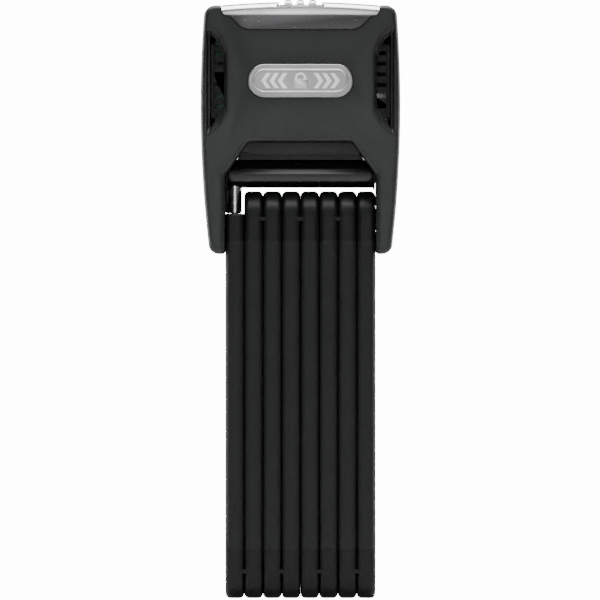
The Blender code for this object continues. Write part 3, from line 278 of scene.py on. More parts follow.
def cell_sleeve():
    """The printed shrink sleeve of the cell, plain bands only."""
    paint = Finish("cell_sleeve", coat=0.5, coat_roughness=0.15)
    height = paint.node("ShaderNodeSeparateXYZ", {}, paint.place(), out=2)
    band = (height + 0.004).ramp(0.0, 0.0004)
    mist = paint.cloud(300.0)
    colour = paint.mix(band, (0.05, 0.14, 0.32), (0.62, 0.62, 0.60))
    return paint.surface(colour, 0.30 + mist * 0.1, paint.bump(mist, 0.1, 0.00003))


# the shell gets painted light: its colour turns lighter below the given heights
SHELL = moulded_plastic("satin_black_shell", (0.0055, 0.0066, 0.0070), (0.0085, 0.0098, 0.0102), 0.40, 2600.0,
                        painted_shading_heights=(-0.030, 0.025))
REAR = moulded_plastic("satin_black_back", (0.0055, 0.0063, 0.0068), (0.0085, 0.0095, 0.0100), 0.44, 2200.0)
COATING = moulded_plastic("hard_bar_coating", (0.0028, 0.0033, 0.0037), (0.0050, 0.0056, 0.0062), 0.42,
                          3600.0, specular=0.30)
GRILLE = moulded_plastic("grille_black", (0.004, 0.004, 0.005), (0.008, 0.008, 0.009), 0.55, 2400.0,
                         specular=0.3)
LINER = moulded_plastic("charcoal_liner", (0.010, 0.0115, 0.0120), (0.015, 0.0165, 0.0170), 0.46, 2400.0)
SLEEVE = soft_sleeve()
BARREL = glossy_barrel()
CHROME = polished_steel("polished_pin_steel", (0.90, 0.91, 0.92), 0.24, (1.0, 1.0, 0.02))
DARK_STEEL = polished_steel("plated_rivet_steel", (0.20, 0.21, 0.22), 0.34, (0.05, 1.0, 1.0))
GROUND_STEEL = polished_steel("ground_steel", (0.46, 0.47, 0.49), 0.28, (1.0, 1.0, 0.05))
STRIP_STEEL = polished_steel("hardened_strip_steel", (0.38, 0.39, 0.40), 0.36, (1.0, 1.0, 0.03))
# the cap gets painted shade: its front flap is coloured darker than the lit top
CAP_METAL = satin_metal("satin_silver_cap", (0.74, 0.745, 0.76), 0.26, painted_shading_heights=(0.0283, 0.0296))
BADGE_METAL = satin_metal("satin_grey_badge", (0.42, 0.425, 0.435), 0.36)
BADGE_BRIGHT = satin_metal("bright_badge_edge", (0.84, 0.845, 0.85), 0.30)
BRASS = polished_steel("turned_brass", (0.66, 0.50, 0.24), 0.26, (1.0, 1.0, 0.05))
CAST = cast_metal()


# ------------------------------------------------------------------ shape writing
def loft(name, rings, around=False, angle=35):
    """Skin a row of rings; around joins the last ring to the first."""
    shape = bmesh.new()
    rows = [[shape.verts.new(point) for point in ring] for ring in rings]
    pairs = list(zip(rows, rows[1:]))
    if around:
        pairs.append((rows[-1], rows[0]))
    for low, high in pairs:
        for i in range(len(low)):
            j = (i + 1) % len(low)
            shape.faces.new((low[i], low[j], high[j], high[i]))
    if not around:
        shape.faces.new(rows[0])
        shape.faces.new(rows[-1])
    bmesh.ops.recalc_face_normals(shape, faces=shape.faces)
    return finished(name, shape, angle)


def finished(name, shape, angle=35):
    """Turn a bmesh into an object with smooth round faces and crisp edges."""
    mesh = bpy.data.meshes.new(name)
    shape.to_mesh(mesh)
    shape.free()
    piece = bpy.data.objects.new(name, mesh)
    bpy.context.scene.collection.objects.link(piece)
    soften(piece, angle)
    return piece


def soften(piece, angle=35):
    """Smooth shading with sharp edges kept above an angle."""
    for face in piece.data.polygons:
        face.use_smooth = True
    piece.data.set_sharp_from_angle(angle=math.radians(angle))


def placed(axis, at, outline):
    """Stand a flat outline at one place along an axis."""
    if axis == "X":
        return [(at, u, v) for u, v in outline]
    if axis == "Y":
        return [(u, at, v) for u, v in outline]
    return [(u, v, at) for u, v in outline]


def circle(radius, sides=48, centre=(0.0, 0.0)):
    """A round outline."""
    turn = 2 * math.pi / sides
    return [(centre[0] + radius * math.cos(turn * i), centre[1] + radius * math.sin(turn * i))
            for i in range(sides)]


def turned(name, axis, stations, centre, sides=48, around=False):
    """A lathe-turned piece from (place, radius) stations."""
    rings = [placed(axis, at, circle(radius, sides, centre)) for at, radius in stations]
    return loft(name, rings, around)


def eased(start, end, steps=4):
    """Points of a quarter round from one (place, radius) corner to another, bulging outwards."""
    points = []
    for i in range(steps + 1):
        angle = math.pi / 2 * i / steps
        points.append((start[0] + (end[0] - start[0]) * math.sin(angle),
                       end[1] + (start[1] - end[1]) * math.cos(angle)))
    return points


def fillet(corners, steps=6):
    """Round each (u, v, radius) corner of a turning outline."""
    points = []
    count = len(corners)
    for i in range(count):
        before, here, after = (Vector(corners[k][:2]) for k in (i - 1, i, (i + 1) % count))
        radius = corners[i][2]
        if radius == 0:
            points.append(tuple(here))
            continue
        towards, away = (before - here).normalized(), (after - here).normalized()
        half = towards.angle(away) / 2
        reach = radius / math.tan(half)
        centre = here + (towards + away).normalized() * radius / math.sin(half)
        first, last = here + towards * reach, here + away * reach
        for k in range(steps + 1):
            blend = first.lerp(last, k / steps) - centre
            points.append(tuple(centre + blend.normalized() * radius))
    return points


def inset(outline, distance):
    """Move every edge of a turning outline inwards."""
    count = len(outline)
    moved = []
    for i in range(count):
        before, here, after = (Vector(outline[k]) for k in (i - 1, i, (i + 1) % count))
        first, second = (here - before).normalized(), (after - here).normalized()
        normal_a, normal_b = Vector((-first.y, first.x)), Vector((-second.y, second.x))
        moved.append(tuple(here + (normal_a + normal_b) * distance / (1 + normal_a.dot(normal_b))))
    return moved


def prism(name, axis, low, high, outline):
    """A straight bar of one outline."""
    return loft(name, [placed(axis, low, outline), placed(axis, high, outline)])


def rounded_slab(name, axis, low, high, outline, edge, steps=3):
    """A plate of one outline with its rim rounded on both faces."""
    rings = []
    for i in range(steps + 1):
        angle = math.pi / 2 * i / steps
        taken = edge * (1 - math.cos(angle))
        rings.append(placed(axis, low + edge * (1 - math.sin(angle)), inset(outline, taken)))
    rings = rings[::-1]
    back = [placed(axis, high - (at_edge(ring, axis) - low), strip(ring, axis)) for ring in rings[::-1]]
    return loft(name, rings + back)


def at_edge(ring, axis):
    """The place of a ring along its axis."""
    return ring[0]["XYZ".index(axis)]


def strip(ring, axis):
    """The flat outline of a placed ring."""
    keep = [i for i in range(3) if i != "XYZ".index(axis)]
    return [(point[keep[0]], point[keep[1]]) for point in ring]


def combine(piece, others, how="DIFFERENCE", angle=35):
    """Cut others from a piece, or join them to it, and drop them."""
    for other in others:
        step = piece.modifiers.new("shape", "BOOLEAN")
        step.operation = how
        step.solver = "EXACT"
        step.object = other
    graph = bpy.context.evaluated_depsgraph_get()
    result = bpy.data.meshes.new_from_object(piece.evaluated_get(graph))
    piece.modifiers.clear()
    piece.data = result
    for other in others:
        bpy.data.objects.remove(other, do_unlink=True)
    soften(piece, angle)
    return piece


def box(name, x, y, z):
    """A box from its limits."""
    return prism(name, "Z", z[0], z[1], [(x[0], y[0]), (x[1], y[0]), (x[1], y[1]), (x[0], y[1])])


def stand_in(piece, body, finish, *nodes, slot=None):
    """Give a piece its finish and its body, and hide the CAD nodes it stands for."""
    piece.data.transform(SHIFT)
    piece.data.materials.clear()
    piece.data.materials.append(finish)
    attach(piece, body)
    if nodes:
        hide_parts(*nodes)
    return piece


def repaint(node, finish):
    """Give a CAD node a finish of its own."""
    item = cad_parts[node]
    if not item.material_slots:
        item.data.materials.append(finish)
    for holder in item.material_slots:
        holder.material = finish


# ------------------------------------------------------------------ places read from the model
def low(node):
    """A node's lowest corner."""
    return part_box(node)[0]


def high(node):
    """A node's highest corner."""
    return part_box(node)[1]


def middle(node, axis):
    """The middle of a node along one axis."""
    return (low(node)[axis] + high(node)[axis]) / 2


MIDDLE_Y = middle("bar_2_hard_coating", 1)
FLOOR_Z = low("bar_2_hard_coating")[2]
SHIFT = Matrix.Translation((0.0, MIDDLE_Y, FLOOR_Z))
BAR_HALF_DEPTH = high("bar_2_hard_coating")[1] - MIDDLE_Y
BAR_PITCH = middle("bar_3_hard_coating", 0) - middle("bar_2_hard_coating", 0)
PIVOT_LOW = BAR_HALF_DEPTH
PIVOT_HIGH = high("bar_2_hard_coating")[2] - FLOOR_Z - BAR_HALF_DEPTH
BARREL_Z = middle("barrel_bush_left", 2) - FLOOR_Z
STEEL_HALF = (high("bar_2_steel_core")[0] - low("bar_2_steel_core")[0]) / 2
SHAFT_R = 3.0 * MM
HEAD_R = 5.0 * MM
HEAD_DEPTH = 1.1 * MM
POCKET_GAP = 0.3 * MM
COATING_EDGE = 2.1 * MM
SLEEVE_EDGE = 2.3 * MM
BARREL_RELIEF = 7.3 * MM
LINER_PRESS = 0.40 * MM
LINER_LIFT = 0.20 * MM
BAR_FACE = BAR_PITCH / 2 - 0.0004 * MM     # skins of neighbouring bars all but touch
COATING_FACE = BAR_FACE - 0.006 * MM
BARREL_R = 6.1 * MM
JOURNAL_R = 3.0 * MM
PIN_R = 2.9 * MM
PIN_X = middle("swivel_pin", 0)
BUSH_R = 4.2 * MM
BODY_HALF_DEPTH = -MIDDLE_Y
BODY_HALF = 42.5 * MM
WIDEST_Z = 210.5 * MM
BODY_TOP = high("front_shell")[2] - FLOOR_Z
BODY_BOTTOM = low("front_shell")[2] - FLOOR_Z
LEG_INNER = high("bar_8_soft_sleeve")[0] + 0.2 * MM
LEG_CORNER = 4.0 * MM
TOP_CORNER = 5.0 * MM
ARCH_SHOULDER = 180.6 * MM
ARCH_TOP = 194.8 * MM
ARCH_HALF = 21.9 * MM
BEVEL = 2.2 * MM
BEVEL_DEPTH = 2.1 * MM
SEAM = 0.15 * MM
WINDOW_INNER, WINDOW_OUTER = 32.1 * MM, 39.5 * MM
WINDOW_BOTTOM, WINDOW_TOP = 198.5 * MM, 242.2 * MM
WINDOW_LIP = 1.5 * MM
BADGE_HALF, BADGE_R, BADGE_Z = 22.35 * MM, 7.1 * MM, 220.6 * MM
CAP_HALF = high("top_cap")[0]
FLAP_BOTTOM = low("top_cap")[2] - FLOOR_Z
CAP_ROLL = 4.0 * MM
CROWN = 1.5 * MM
CHANNEL_HALF, CHANNEL_FLOOR = 9.1 * MM, 252.0 * MM
CORE_Y = middle("cylinder_core", 1) - MIDDLE_Y


# ------------------------------------------------------------------ the bars
def stadium(low_z, high_z, radius, steps=24):
    """A long outline in (y, z) with round ends."""
    turn = math.pi / steps
    top = [(radius * math.cos(turn * i), high_z + radius * math.sin(turn * i)) for i in range(steps + 1)]
    bottom = [(-radius * math.cos(turn * i), low_z - radius * math.sin(turn * i)) for i in range(steps + 1)]
    return top + bottom


def flat_topped(low_z, top_z, radius, corner, steps=24):
    """A long outline in (y, z): round at the bottom, square with soft corners at the top."""
    turn = math.pi / steps
    bottom = [(-radius * math.cos(turn * i), low_z - radius * math.sin(turn * i)) for i in range(steps + 1)]
    bend = [math.pi / 2 * i / 6 for i in range(7)]
    right = [(radius - corner + corner * math.cos(a), top_z - corner + corner * math.sin(a)) for a in bend]
    left = [(-y, z) for y, z in reversed(right)]
    return right + left + bottom


def lengthened(outline, pieces=30):
    """Split the longest edges of an outline so that long faces can be shaded and grained evenly."""
    longest = max(math.dist(a, b) for a, b in zip(outline, outline[1:] + outline[:1]))
    split = []
    for here, there in zip(outline, outline[1:] + outline[:1]):
        count = max(1, round(pieces * math.dist(here, there) / longest))
        split += [tuple(Vector(here).lerp(Vector(there), k / count)) for k in range(count)]
    return split


def edge_profile(half, edge, steps=5):
    """Stations (place, taken) across a plate whose two rims are rounded by edge."""
    bend = [math.pi / 2 * (1 - i / steps) for i in range(steps + 1)]
    near = [(-half + edge * (1 - math.cos(a)), edge * (1 - math.sin(a))) for a in reversed(bend)]
    return near + [(-at, taken) for at, taken in reversed(near)]


def bar_plate(name, x, outline_of, half, edge):
    """A bar-shaped plate standing across X with rounded rims; outline_of(taken) gives its outline."""
    rings = [placed("X", x + at, outline_of(taken)) for at, taken in edge_profile(half, edge)]
    return loft(name, rings)


def coating_outline(number, top_z):
    """The outline of a bar's coating as a function of what its rounding takes."""
    if number == 1:
        return lambda taken: flat_topped(PIVOT_LOW, top_z, BAR_HALF_DEPTH - taken, 1.2 * MM)
    return lambda taken: stadium(PIVOT_LOW, PIVOT_HIGH, BAR_HALF_DEPTH - taken)


def bar_coating(number):
    """The hard coating: soft rims, a recess round each rivet and a stop pad beside each rivet."""
    node = "bar_%d_hard_coating" % number
    x = middle(node, 0)
    half = (high(node)[0] - low(node)[0]) / 2
    top_z = high(node)[2] - FLOOR_Z
    coating = bar_plate(node, x, coating_outline(number, top_z), COATING_FACE, COATING_EDGE)
    low_side = 1 if number % 2 else -1
    spots = [(PIVOT_LOW, low_side)]
    if number > 1:
        spots.append((PIVOT_HIGH, -low_side if number < 8 else 0))
    cutters = []
    for z, side in spots:
        for face in (-1, 1):
            collar = face == side
            radius = low_collar() + POCKET_GAP if collar else HEAD_R + 0.4 * MM
            start = x + face * (half - (0.9 * MM if collar else HEAD_DEPTH))
            ends = sorted((start, x + face * (BAR_FACE + MM)))
            cutters.append(turned("recess", "X", [(ends[0], radius), (ends[1], radius)], (0.0, z), 64))
    combine(coating, cutters)
    for z, side in spots:
        if side:
            pads = [stop_pad(x, COATING_FACE, z, side, face) for face in (-1, 1)]
            coating = combine(coating, pads, "UNION")
    return stand_in(coating, "bar_%d" % number, COATING, node)


def stop_pad(x, half, z, side, face):
    """A small block on the rim beside a rivet that squares up the rounded edge."""
    inner = x + side * (half - 1.9 * MM)
    outer = x + side * (half - 0.02 * MM)
    ends = sorted((inner, outer))
    front = face * (BAR_HALF_DEPTH - 0.15 * MM)
    depth = sorted((front, face * (BAR_HALF_DEPTH - 1.6 * MM)))
    return box("pad", ends, depth, (z - 0.85 * MM, z + 0.85 * MM))


def low_collar():
    """Radius of the collars between riveted bars."""
    return (high("rivet_bar_1_to_2")[2] - low("rivet_bar_1_to_2")[2]) / 2


def bar_sleeve(number):
    """The soft sleeve: a drawn tube with broad round edges and slightly rolled ends."""
    node = "bar_%d_soft_sleeve" % number
    x = middle(node, 0)
    half_x = BAR_FACE
    half_y = (high(node)[1] - low(node)[1]) / 2
    low_z, high_z = low(node)[2] - FLOOR_Z, high(node)[2] - FLOOR_Z
    corners = [(x + u * half_x, v * half_y, SLEEVE_EDGE) for u, v in ((-1, -1), (1, -1), (1, 1), (-1, 1))]
    section = lengthened(fillet(corners, 8), 10)
    stations = [(low_z, 0.35 * MM), (low_z + 0.10 * MM, 0.12 * MM), (low_z + 0.40 * MM, 0.0)]
    stations += [(low_z + (high_z - low_z) * i / 24, 0.0) for i in range(1, 24)]
    stations += [(low_z + high_z - at, taken) for at, taken in reversed(stations[:3])]
    rings = [placed("Z", at, inset(section, taken)) for at, taken in stations]
    return stand_in(loft(node, rings), "bar_%d" % number, SLEEVE, node)


def rivet(number):
    """A rivet with domed heads and the collar that spaces two bars."""
    node = "rivet_bar_%d_to_%d" % (number, number + 1)
    x = middle(node, 0)
    z = PIVOT_LOW if number % 2 else PIVOT_HIGH
    reach = (high(node)[0] - low(node)[0]) / 2
    collar = low_collar()
    collar_half = BAR_PITCH / 2 - STEEL_HALF - 0.15 * MM
    face = BAR_PITCH / 2 + STEEL_HALF + 0.15 * MM
    half = [(collar_half - 0.2 * MM, collar), (collar_half, collar - 0.2 * MM), (collar_half, SHAFT_R),
            (face, SHAFT_R), (face, HEAD_R - 0.1 * MM), (face + 0.1 * MM, HEAD_R)]
    half += eased((reach - 0.45 * MM, HEAD_R), (reach, HEAD_R - 1.1 * MM), 5)
    half += [(reach, 1.6 * MM), (reach - 0.15 * MM, 1.3 * MM)]
    stations = [(x - at, radius) for at, radius in reversed(half)] + [(x + at, radius) for at, radius in half]
    return stand_in(turned(node, "X", stations, (0.0, z), 56), "bar_%d" % number, DARK_STEEL, node)


def locking_stud():
    """The stud on the last bar: a shouldered post with a turned groove and a soft nose."""
    node = "locking_stud"
    x = middle("bar_8_hard_coating", 0)
    left = low(node)[0]
    right = high(node)[0]
    stations = [(left, 1.6 * MM), (left, HEAD_R - 0.5 * MM), (left + 0.35 * MM, HEAD_R)]
    stations += [(x - STEEL_HALF - 0.15 * MM, HEAD_R), (x - STEEL_HALF - 0.15 * MM, SHAFT_R),
                 (x + STEEL_HALF + 0.15 * MM, SHAFT_R), (x + STEEL_HALF + 0.15 * MM, HEAD_R)]
    neck = x + 3.9 * MM
    groove_r = HEAD_R - 0.25 * MM
    stations += [(neck, HEAD_R), (neck + 0.25 * MM, groove_r), (neck + 0.85 * MM, groove_r),
                 (neck + 1.10 * MM, HEAD_R)]
    stations += eased((right - 0.9 * MM, HEAD_R), (right, HEAD_R - 0.9 * MM), 6)
    stations += [(right, 1.5 * MM), (right - 0.2 * MM, 1.2 * MM)]
    return stand_in(turned(node, "X", stations, (0.0, PIVOT_HIGH), 64), "bar_8", CHROME, node)


# ------------------------------------------------------------------ barrel, pin and bushes
def swing_barrel():
    """The cross barrel with its journals, end flats and the guard behind the pin."""
    node = "swing_barrel"
    flange_x = high("barrel_bush_right")[0] - 4.8 * MM
    shoulder = flange_x - 0.3 * MM
    journal = high(node)[0]
    half = eased((shoulder - 0.5 * MM, BARREL_R), (shoulder, BARREL_R - 0.5 * MM), 4)
    half += [(shoulder, JOURNAL_R), (journal - 0.3 * MM, JOURNAL_R), (journal, JOURNAL_R - 0.3 * MM)]
    stations = [(-at, radius) for at, radius in reversed(half)] + half
    barrel = turned(node, "X", stations, (0.0, BARREL_Z), 96)
    pin_top = BARREL_Z + BARREL_R / 3
    seat = turned("seat", "Z", [(BARREL_Z - 2 * BARREL_R, PIN_R + 0.08 * MM), (pin_top, PIN_R + 0.08 * MM)],
                  (PIN_X, 0.0), 64)
    guard_x = (-LEG_INNER + 0.10 * MM, PIN_X + PIN_R)
    guard_z = (low(node)[2] - FLOOR_Z, BARREL_Z)
    corners = [(guard_x[0], guard_z[0], 0.8 * MM), (guard_x[1], guard_z[0], 0.8 * MM),
               (guard_x[1], guard_z[1], 0), (guard_x[0], guard_z[1], 0)]
    guard = rounded_slab("guard", "Y", 4.0 * MM, 6.2 * MM, fillet(corners, 5), 0.4 * MM)
    combine(barrel, [guard], "UNION")
    combine(barrel, [seat])
    return stand_in(barrel, "bar_1", BARREL, node)


def swivel_pin():
    """The bright pin under the barrel."""
    node = "swivel_pin"
    low_z, high_z = low(node)[2] - FLOOR_Z, high(node)[2] - FLOOR_Z
    step = low("swing_barrel")[2] - FLOOR_Z
    stations = [(low_z, 1.2 * MM), (low_z + 0.3 * MM, 1.5 * MM), (step, 1.5 * MM), (step, PIN_R - 0.3 * MM)]
    stations += [(step + 0.3 * MM, PIN_R), (high_z, PIN_R)]
    return stand_in(turned(node, "Z", stations, (PIN_X, 0.0), 96), "bar_1", CHROME, node)


def barrel_bush(node):
    """A flanged bush with a soft rim."""
    side = 1 if middle(node, 0) > 0 else -1
    inner = min(abs(low(node)[0]), abs(high(node)[0]))
    outer = max(abs(low(node)[0]), abs(high(node)[0]))
    rim = (high(node)[2] - low(node)[2]) / 2
    bore = JOURNAL_R + 0.08 * MM
    flange = inner + 0.8 * MM
    stations = [(inner, bore + 0.2 * MM), (inner, rim - 0.3 * MM), (inner + 0.3 * MM, rim), (flange, rim),
                (flange, BUSH_R), (outer, BUSH_R), (outer, bore), (inner + 0.2 * MM, bore)]
    stations = [(side * at, radius) for at, radius in stations]
    bush = turned(node, "X", stations, (0.0, BARREL_Z), 72, around=True)
    return stand_in(bush, "lock_body", GRILLE, node)


# ------------------------------------------------------------------ the lock body
def half_width(z):
    """Half width of the lock body at one height."""
    return BODY_HALF - 3.4 * MM * ((z - WIDEST_Z) / (59.5 * MM)) ** 2


def fork_corners(side):
    """Corners (x, z, radius) of one shell: two legs, an arch between them and a waisted body."""
    inner, outer = LEG_INNER, half_width(BODY_BOTTOM)
    right = [(inner, BODY_BOTTOM, 1.6 * MM), (outer, BODY_BOTTOM, LEG_CORNER)]
    low_z, high_z = BODY_BOTTOM + LEG_CORNER + MM, BODY_TOP - TOP_CORNER - MM
    heights = [low_z + (high_z - low_z) * i / 40 for i in range(41)]
    right += [(half_width(z), z, 0) for z in heights] + [(half_width(BODY_TOP), BODY_TOP, TOP_CORNER)]
    left = [(-x, z, r) for x, z, r in reversed(right)]
    if side > 0:
        return right + left + [(-inner, ARCH_TOP, 0.5 * MM), (inner, ARCH_TOP, 0.5 * MM)]
    return right + left + [(-inner, ARCH_SHOULDER, 2.0 * MM), (-ARCH_HALF, ARCH_TOP, 3.0 * MM),
                           (ARCH_HALF, ARCH_TOP, 3.0 * MM), (inner, ARCH_SHOULDER, 2.0 * MM)]


def shrunk(corners, taken, steps=8):
    """Rounded corners after the edges move inwards: outward bends tighten, inward ones open."""
    moved = inset([(u, v) for u, v, _ in corners], taken)
    bent = []
    for i, ((u, v), (_, _, radius)) in enumerate(zip(moved, corners)):
        before, here, after = (Vector(corners[k][:2]) for k in (i - 1, i, (i + 1) % len(corners)))
        first, second = here - before, after - here
        outward = first.x * second.y - first.y * second.x > 0
        fresh = max(0.1 * MM, radius - taken) if outward else radius + taken
        bent.append((u, v, fresh if radius else 0))
    return fillet(bent, steps)


def hole(axis, ends, radius, centre, sides=64):
    """A plain round cutter."""
    return turned("hole", axis, [(ends[0], radius), (ends[1], radius)], centre, sides)


def window_outline(side, shrink):
    """A side window in (x, z); shrink leaves a rim."""
    inner, outer = WINDOW_INNER + shrink, WINDOW_OUTER - shrink / 2
    top, bottom = WINDOW_TOP - shrink * 2, WINDOW_BOTTOM + shrink * 2
    corners = [(inner, bottom + 11.0 * MM, 3 * MM), (inner + 3.0 * MM, bottom + 5.5 * MM, 3 * MM),
               (outer, bottom, 0.4 * MM), (outer, top, 0.5 * MM),
               (inner + 3.0 * MM, top - 3.6 * MM, 2 * MM), (inner, top - 10.6 * MM, 3 * MM)]
    outline = fillet(corners, 5)
    return [(side * x, z) for x, z in outline]


def window_cutter(side):
    """The sloping rim and the opening of a side window."""
    front = -BODY_HALF_DEPTH
    stations = [(front - 0.5 * MM, -WINDOW_LIP - 0.1 * MM)]
    stations += [(front + WINDOW_LIP * (1 - math.cos(a)), -WINDOW_LIP * (1 - math.sin(a)))
                 for a in (math.pi / 2 * i / 6 for i in range(7))]
    stations += [(front + WINDOW_LIP + 0.4 * MM, 0.4 * MM), (front + 4.0 * MM, 0.4 * MM)]
    return loft("window", [placed("Y", at, window_outline(side, shrink)) for at, shrink in stations])


def capsule(half_length, radius, centre_z, steps=32):
    """A lying outline in (x, z) with round ends."""
    run = half_length - radius
    right = [(run + radius * math.sin(math.pi * i / steps), centre_z - radius * math.cos(math.pi * i / steps))
             for i in range(steps + 1)]
    return right + [(-u, 2 * centre_z - v) for u, v in right]


def flap_corners(grown=0.0):
    """The lower edge of the cap's flap in (x, z) with its roundings, left to right."""
    right = [(22.6 * MM, FLAP_BOTTOM, 3 * MM), (25.7 * MM, FLAP_BOTTOM + 1.4 * MM, 3 * MM),
             (29.7 * MM, 247.7 * MM, 4 * MM), (CAP_HALF, BODY_TOP, 0)]
    right = [(x + grown, z - grown, r) for x, z, r in right]
    return [(-x, z, r) for x, z, r in reversed(right)] + right


def stud_way():
    """The way in the right leg for the stud: straight to the rear and round the barrel."""
    half = HEAD_R + 0.4 * MM
    inner = BARREL_Z - PIVOT_HIGH - half
    rear = BODY_HALF_DEPTH + 2 * MM
    round_end = [(-half * math.sin(a), PIVOT_HIGH + half * math.cos(a))
                 for a in (math.pi * i / 16 for i in range(17))]
    outline = list(round_end)
    outline += [(rear, PIVOT_HIGH - half), (rear, BARREL_Z + half), (inner, BARREL_Z + half)]
    outline += [(inner * math.sin(a), BARREL_Z - inner * math.cos(a))
                for a in (math.radians(90 - 6 * i) for i in range(15))]
    return prism("slot", "X", LEG_INNER - 2 * MM, high("locking_stud")[0] + 0.3 * MM, outline)


def shell_cutters(side):
    """Everything both shells are hollowed and drilled by."""
    wall = BODY_HALF_DEPTH - 2.4 * MM
    rooms = [(38.5 * MM, ARCH_TOP + 2.6 * MM), (38.5 * MM, 240 * MM), (31 * MM, 240 * MM),
             (31 * MM, 247.9 * MM)]
    room = prism("room", "Y", min(-side * MM, side * wall), max(-side * MM, side * wall),
                 rooms + [(-x, z) for x, z in reversed(rooms)])
    notch = box("notch", (-CAP_HALF - 0.3 * MM, CAP_HALF + 0.3 * MM), (-30 * MM, 30 * MM),
                (BODY_TOP - 2.5 * MM, BODY_TOP + 3 * MM))
    cutters = [room, notch, hole("Z", (247 * MM, BODY_TOP), 9.1 * MM, (0.0, CORE_Y)), stud_way()]
    for leg in (-1, 1):
        ends = sorted((leg * (LEG_INNER - 2 * MM), leg * (LEG_INNER + 4.3 * MM)))
        cutters.append(hole("X", ends, BUSH_R + 0.15 * MM, (0.0, BARREL_Z)))
    for number in range(1, 5):
        node = "housing_screw_%d" % number
        spot = (middle(node, 0), middle(node, 2) - FLOOR_Z)
        head = BODY_HALF_DEPTH - 2.7 * MM
        cutters.append(turned("hole", "Y", [(-10.3 * MM, 1.48 * MM), (head, 1.48 * MM), (head, 3.0 * MM),
                                            (BODY_HALF_DEPTH - 0.3 * MM, 3.0 * MM),
                                            (BODY_HALF_DEPTH + MM, 4.3 * MM)], spot, 48))
    return cutters


def shell_blank(node, side):
    """One half of the body: soft rim at the seam, a broad rounded bevel at the face."""
    corners = fork_corners(side)
    start = BODY_HALF_DEPTH - BEVEL_DEPTH
    stations = [(SEAM, 0.25 * MM), (SEAM + 0.25 * MM, 0.0)]
    for i in range(9):
        angle = math.pi / 2 * i / 8
        stations.append((start + BEVEL_DEPTH * math.sin(angle), BEVEL * (1 - math.cos(angle))))
    return loft(node, [placed("Y", side * at, shrunk(corners, taken)) for at, taken in stations])


def front_shell():
    """The front half of the lock body."""
    shell = shell_blank("front_shell", -1)
    flap = fillet([(CAP_HALF + 0.3 * MM, BODY_TOP + 3 * MM, 0), (-CAP_HALF - 0.3 * MM, BODY_TOP + 3 * MM, 0)]
                  + flap_corners(0.3 * MM), 6)
    cutters = shell_cutters(-1)
    cutters.append(prism("flap", "Y", -BODY_HALF_DEPTH - 3 * MM, -BODY_HALF_DEPTH + 1.2 * MM, flap))
    cutters.append(prism("seat", "Y", -BODY_HALF_DEPTH - MM, -BODY_HALF_DEPTH + 0.8 * MM,
                         capsule(BADGE_HALF + 0.3 * MM, BADGE_R + 0.3 * MM, BADGE_Z)))
    relief = [(-LEG_INNER, BARREL_RELIEF), (LEG_INNER, BARREL_RELIEF)]
    cutters.append(turned("relief", "X", relief, (0.0, BARREL_Z), 96))
    cutters += [window_cutter(-1), window_cutter(1)]
    combine(shell, cutters)
    crisp(shell, 0.22 * MM)
    return stand_in(shell, "lock_body", SHELL, "front_shell")


def rear_shell():
    """The rear half of the lock body, with the battery hatch and the bolt's channel."""
    shell = shell_blank("rear_shell", 1)
    cutters = shell_cutters(1)
    door_low, door_high = low("battery_door"), high("battery_door")
    gap = 0.3 * MM
    cutters.append(box("seat", (door_low[0] - gap, door_high[0] + gap),
                       (BODY_HALF_DEPTH - 1.8 * MM, BODY_HALF_DEPTH + MM),
                       (door_low[2] - FLOOR_Z - gap, door_high[2] - FLOOR_Z + gap)))
    bolt_low, bolt_high = low("locking_bolt"), high("locking_bolt")
    reach = bolt_high[0] - 4.0 * MM
    cutters.append(box("channel", (reach - gap, bolt_high[0] + gap),
                       (bolt_low[1] - MIDDLE_Y - gap, bolt_high[1] - MIDDLE_Y + gap),
                       (bolt_low[2] - FLOOR_Z - 10.9 * MM, ARCH_TOP + 5 * MM)))
    combine(shell, cutters)
    crisp(shell, 0.22 * MM)
    return stand_in(shell, "lock_body", REAR, "rear_shell")


def crisp(piece, width, segments=3, limit=32):
    """Round the real edges of a piece a little."""
    step = piece.modifiers.new("edges", "BEVEL")
    step.width = width
    step.segments = segments
    step.limit_method = "ANGLE"
    step.angle_limit = math.radians(limit)
    step.miter_outer = "MITER_ARC"
    step.use_clamp_overlap = True
    graph = bpy.context.evaluated_depsgraph_get()
    piece.data = bpy.data.meshes.new_from_object(piece.evaluated_get(graph))
    piece.modifiers.clear()
    soften(piece, 40)
    return piece


def copied(node, finish, width, body="lock_body", segments=3):
    """A copy of a CAD piece with its edges rounded and a finish of its own."""
    piece = bpy.data.objects.new("fine_" + node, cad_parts[node].data.copy())
    bpy.context.scene.collection.objects.link(piece)
    weld(piece)
    crisp(piece, width, segments)
    piece.data.transform(SHIFT.inverted())
    return stand_in(piece, body, finish, node)


def seated(liner):
    """Press the liner out against the sloping sides of the arch, so that no light passes round it."""
    for vertex in liner.data.vertices:
        vertex.co.x += math.copysign(LINER_PRESS, vertex.co.x) if abs(vertex.co.x) > LINER_PRESS else 0.0
        vertex.co.z += LINER_LIFT
    return liner


def weld(piece):
    """Join the split corners of an exported mesh and merge its flat triangles."""
    shape = bmesh.new()
    shape.from_mesh(piece.data)
    bmesh.ops.remove_doubles(shape, verts=shape.verts, dist=0.001 * MM)
    bmesh.ops.dissolve_limit(shape, angle_limit=math.radians(1.0), verts=shape.verts, edges=shape.edges)
    shape.to_mesh(piece.data)
    shape.free()


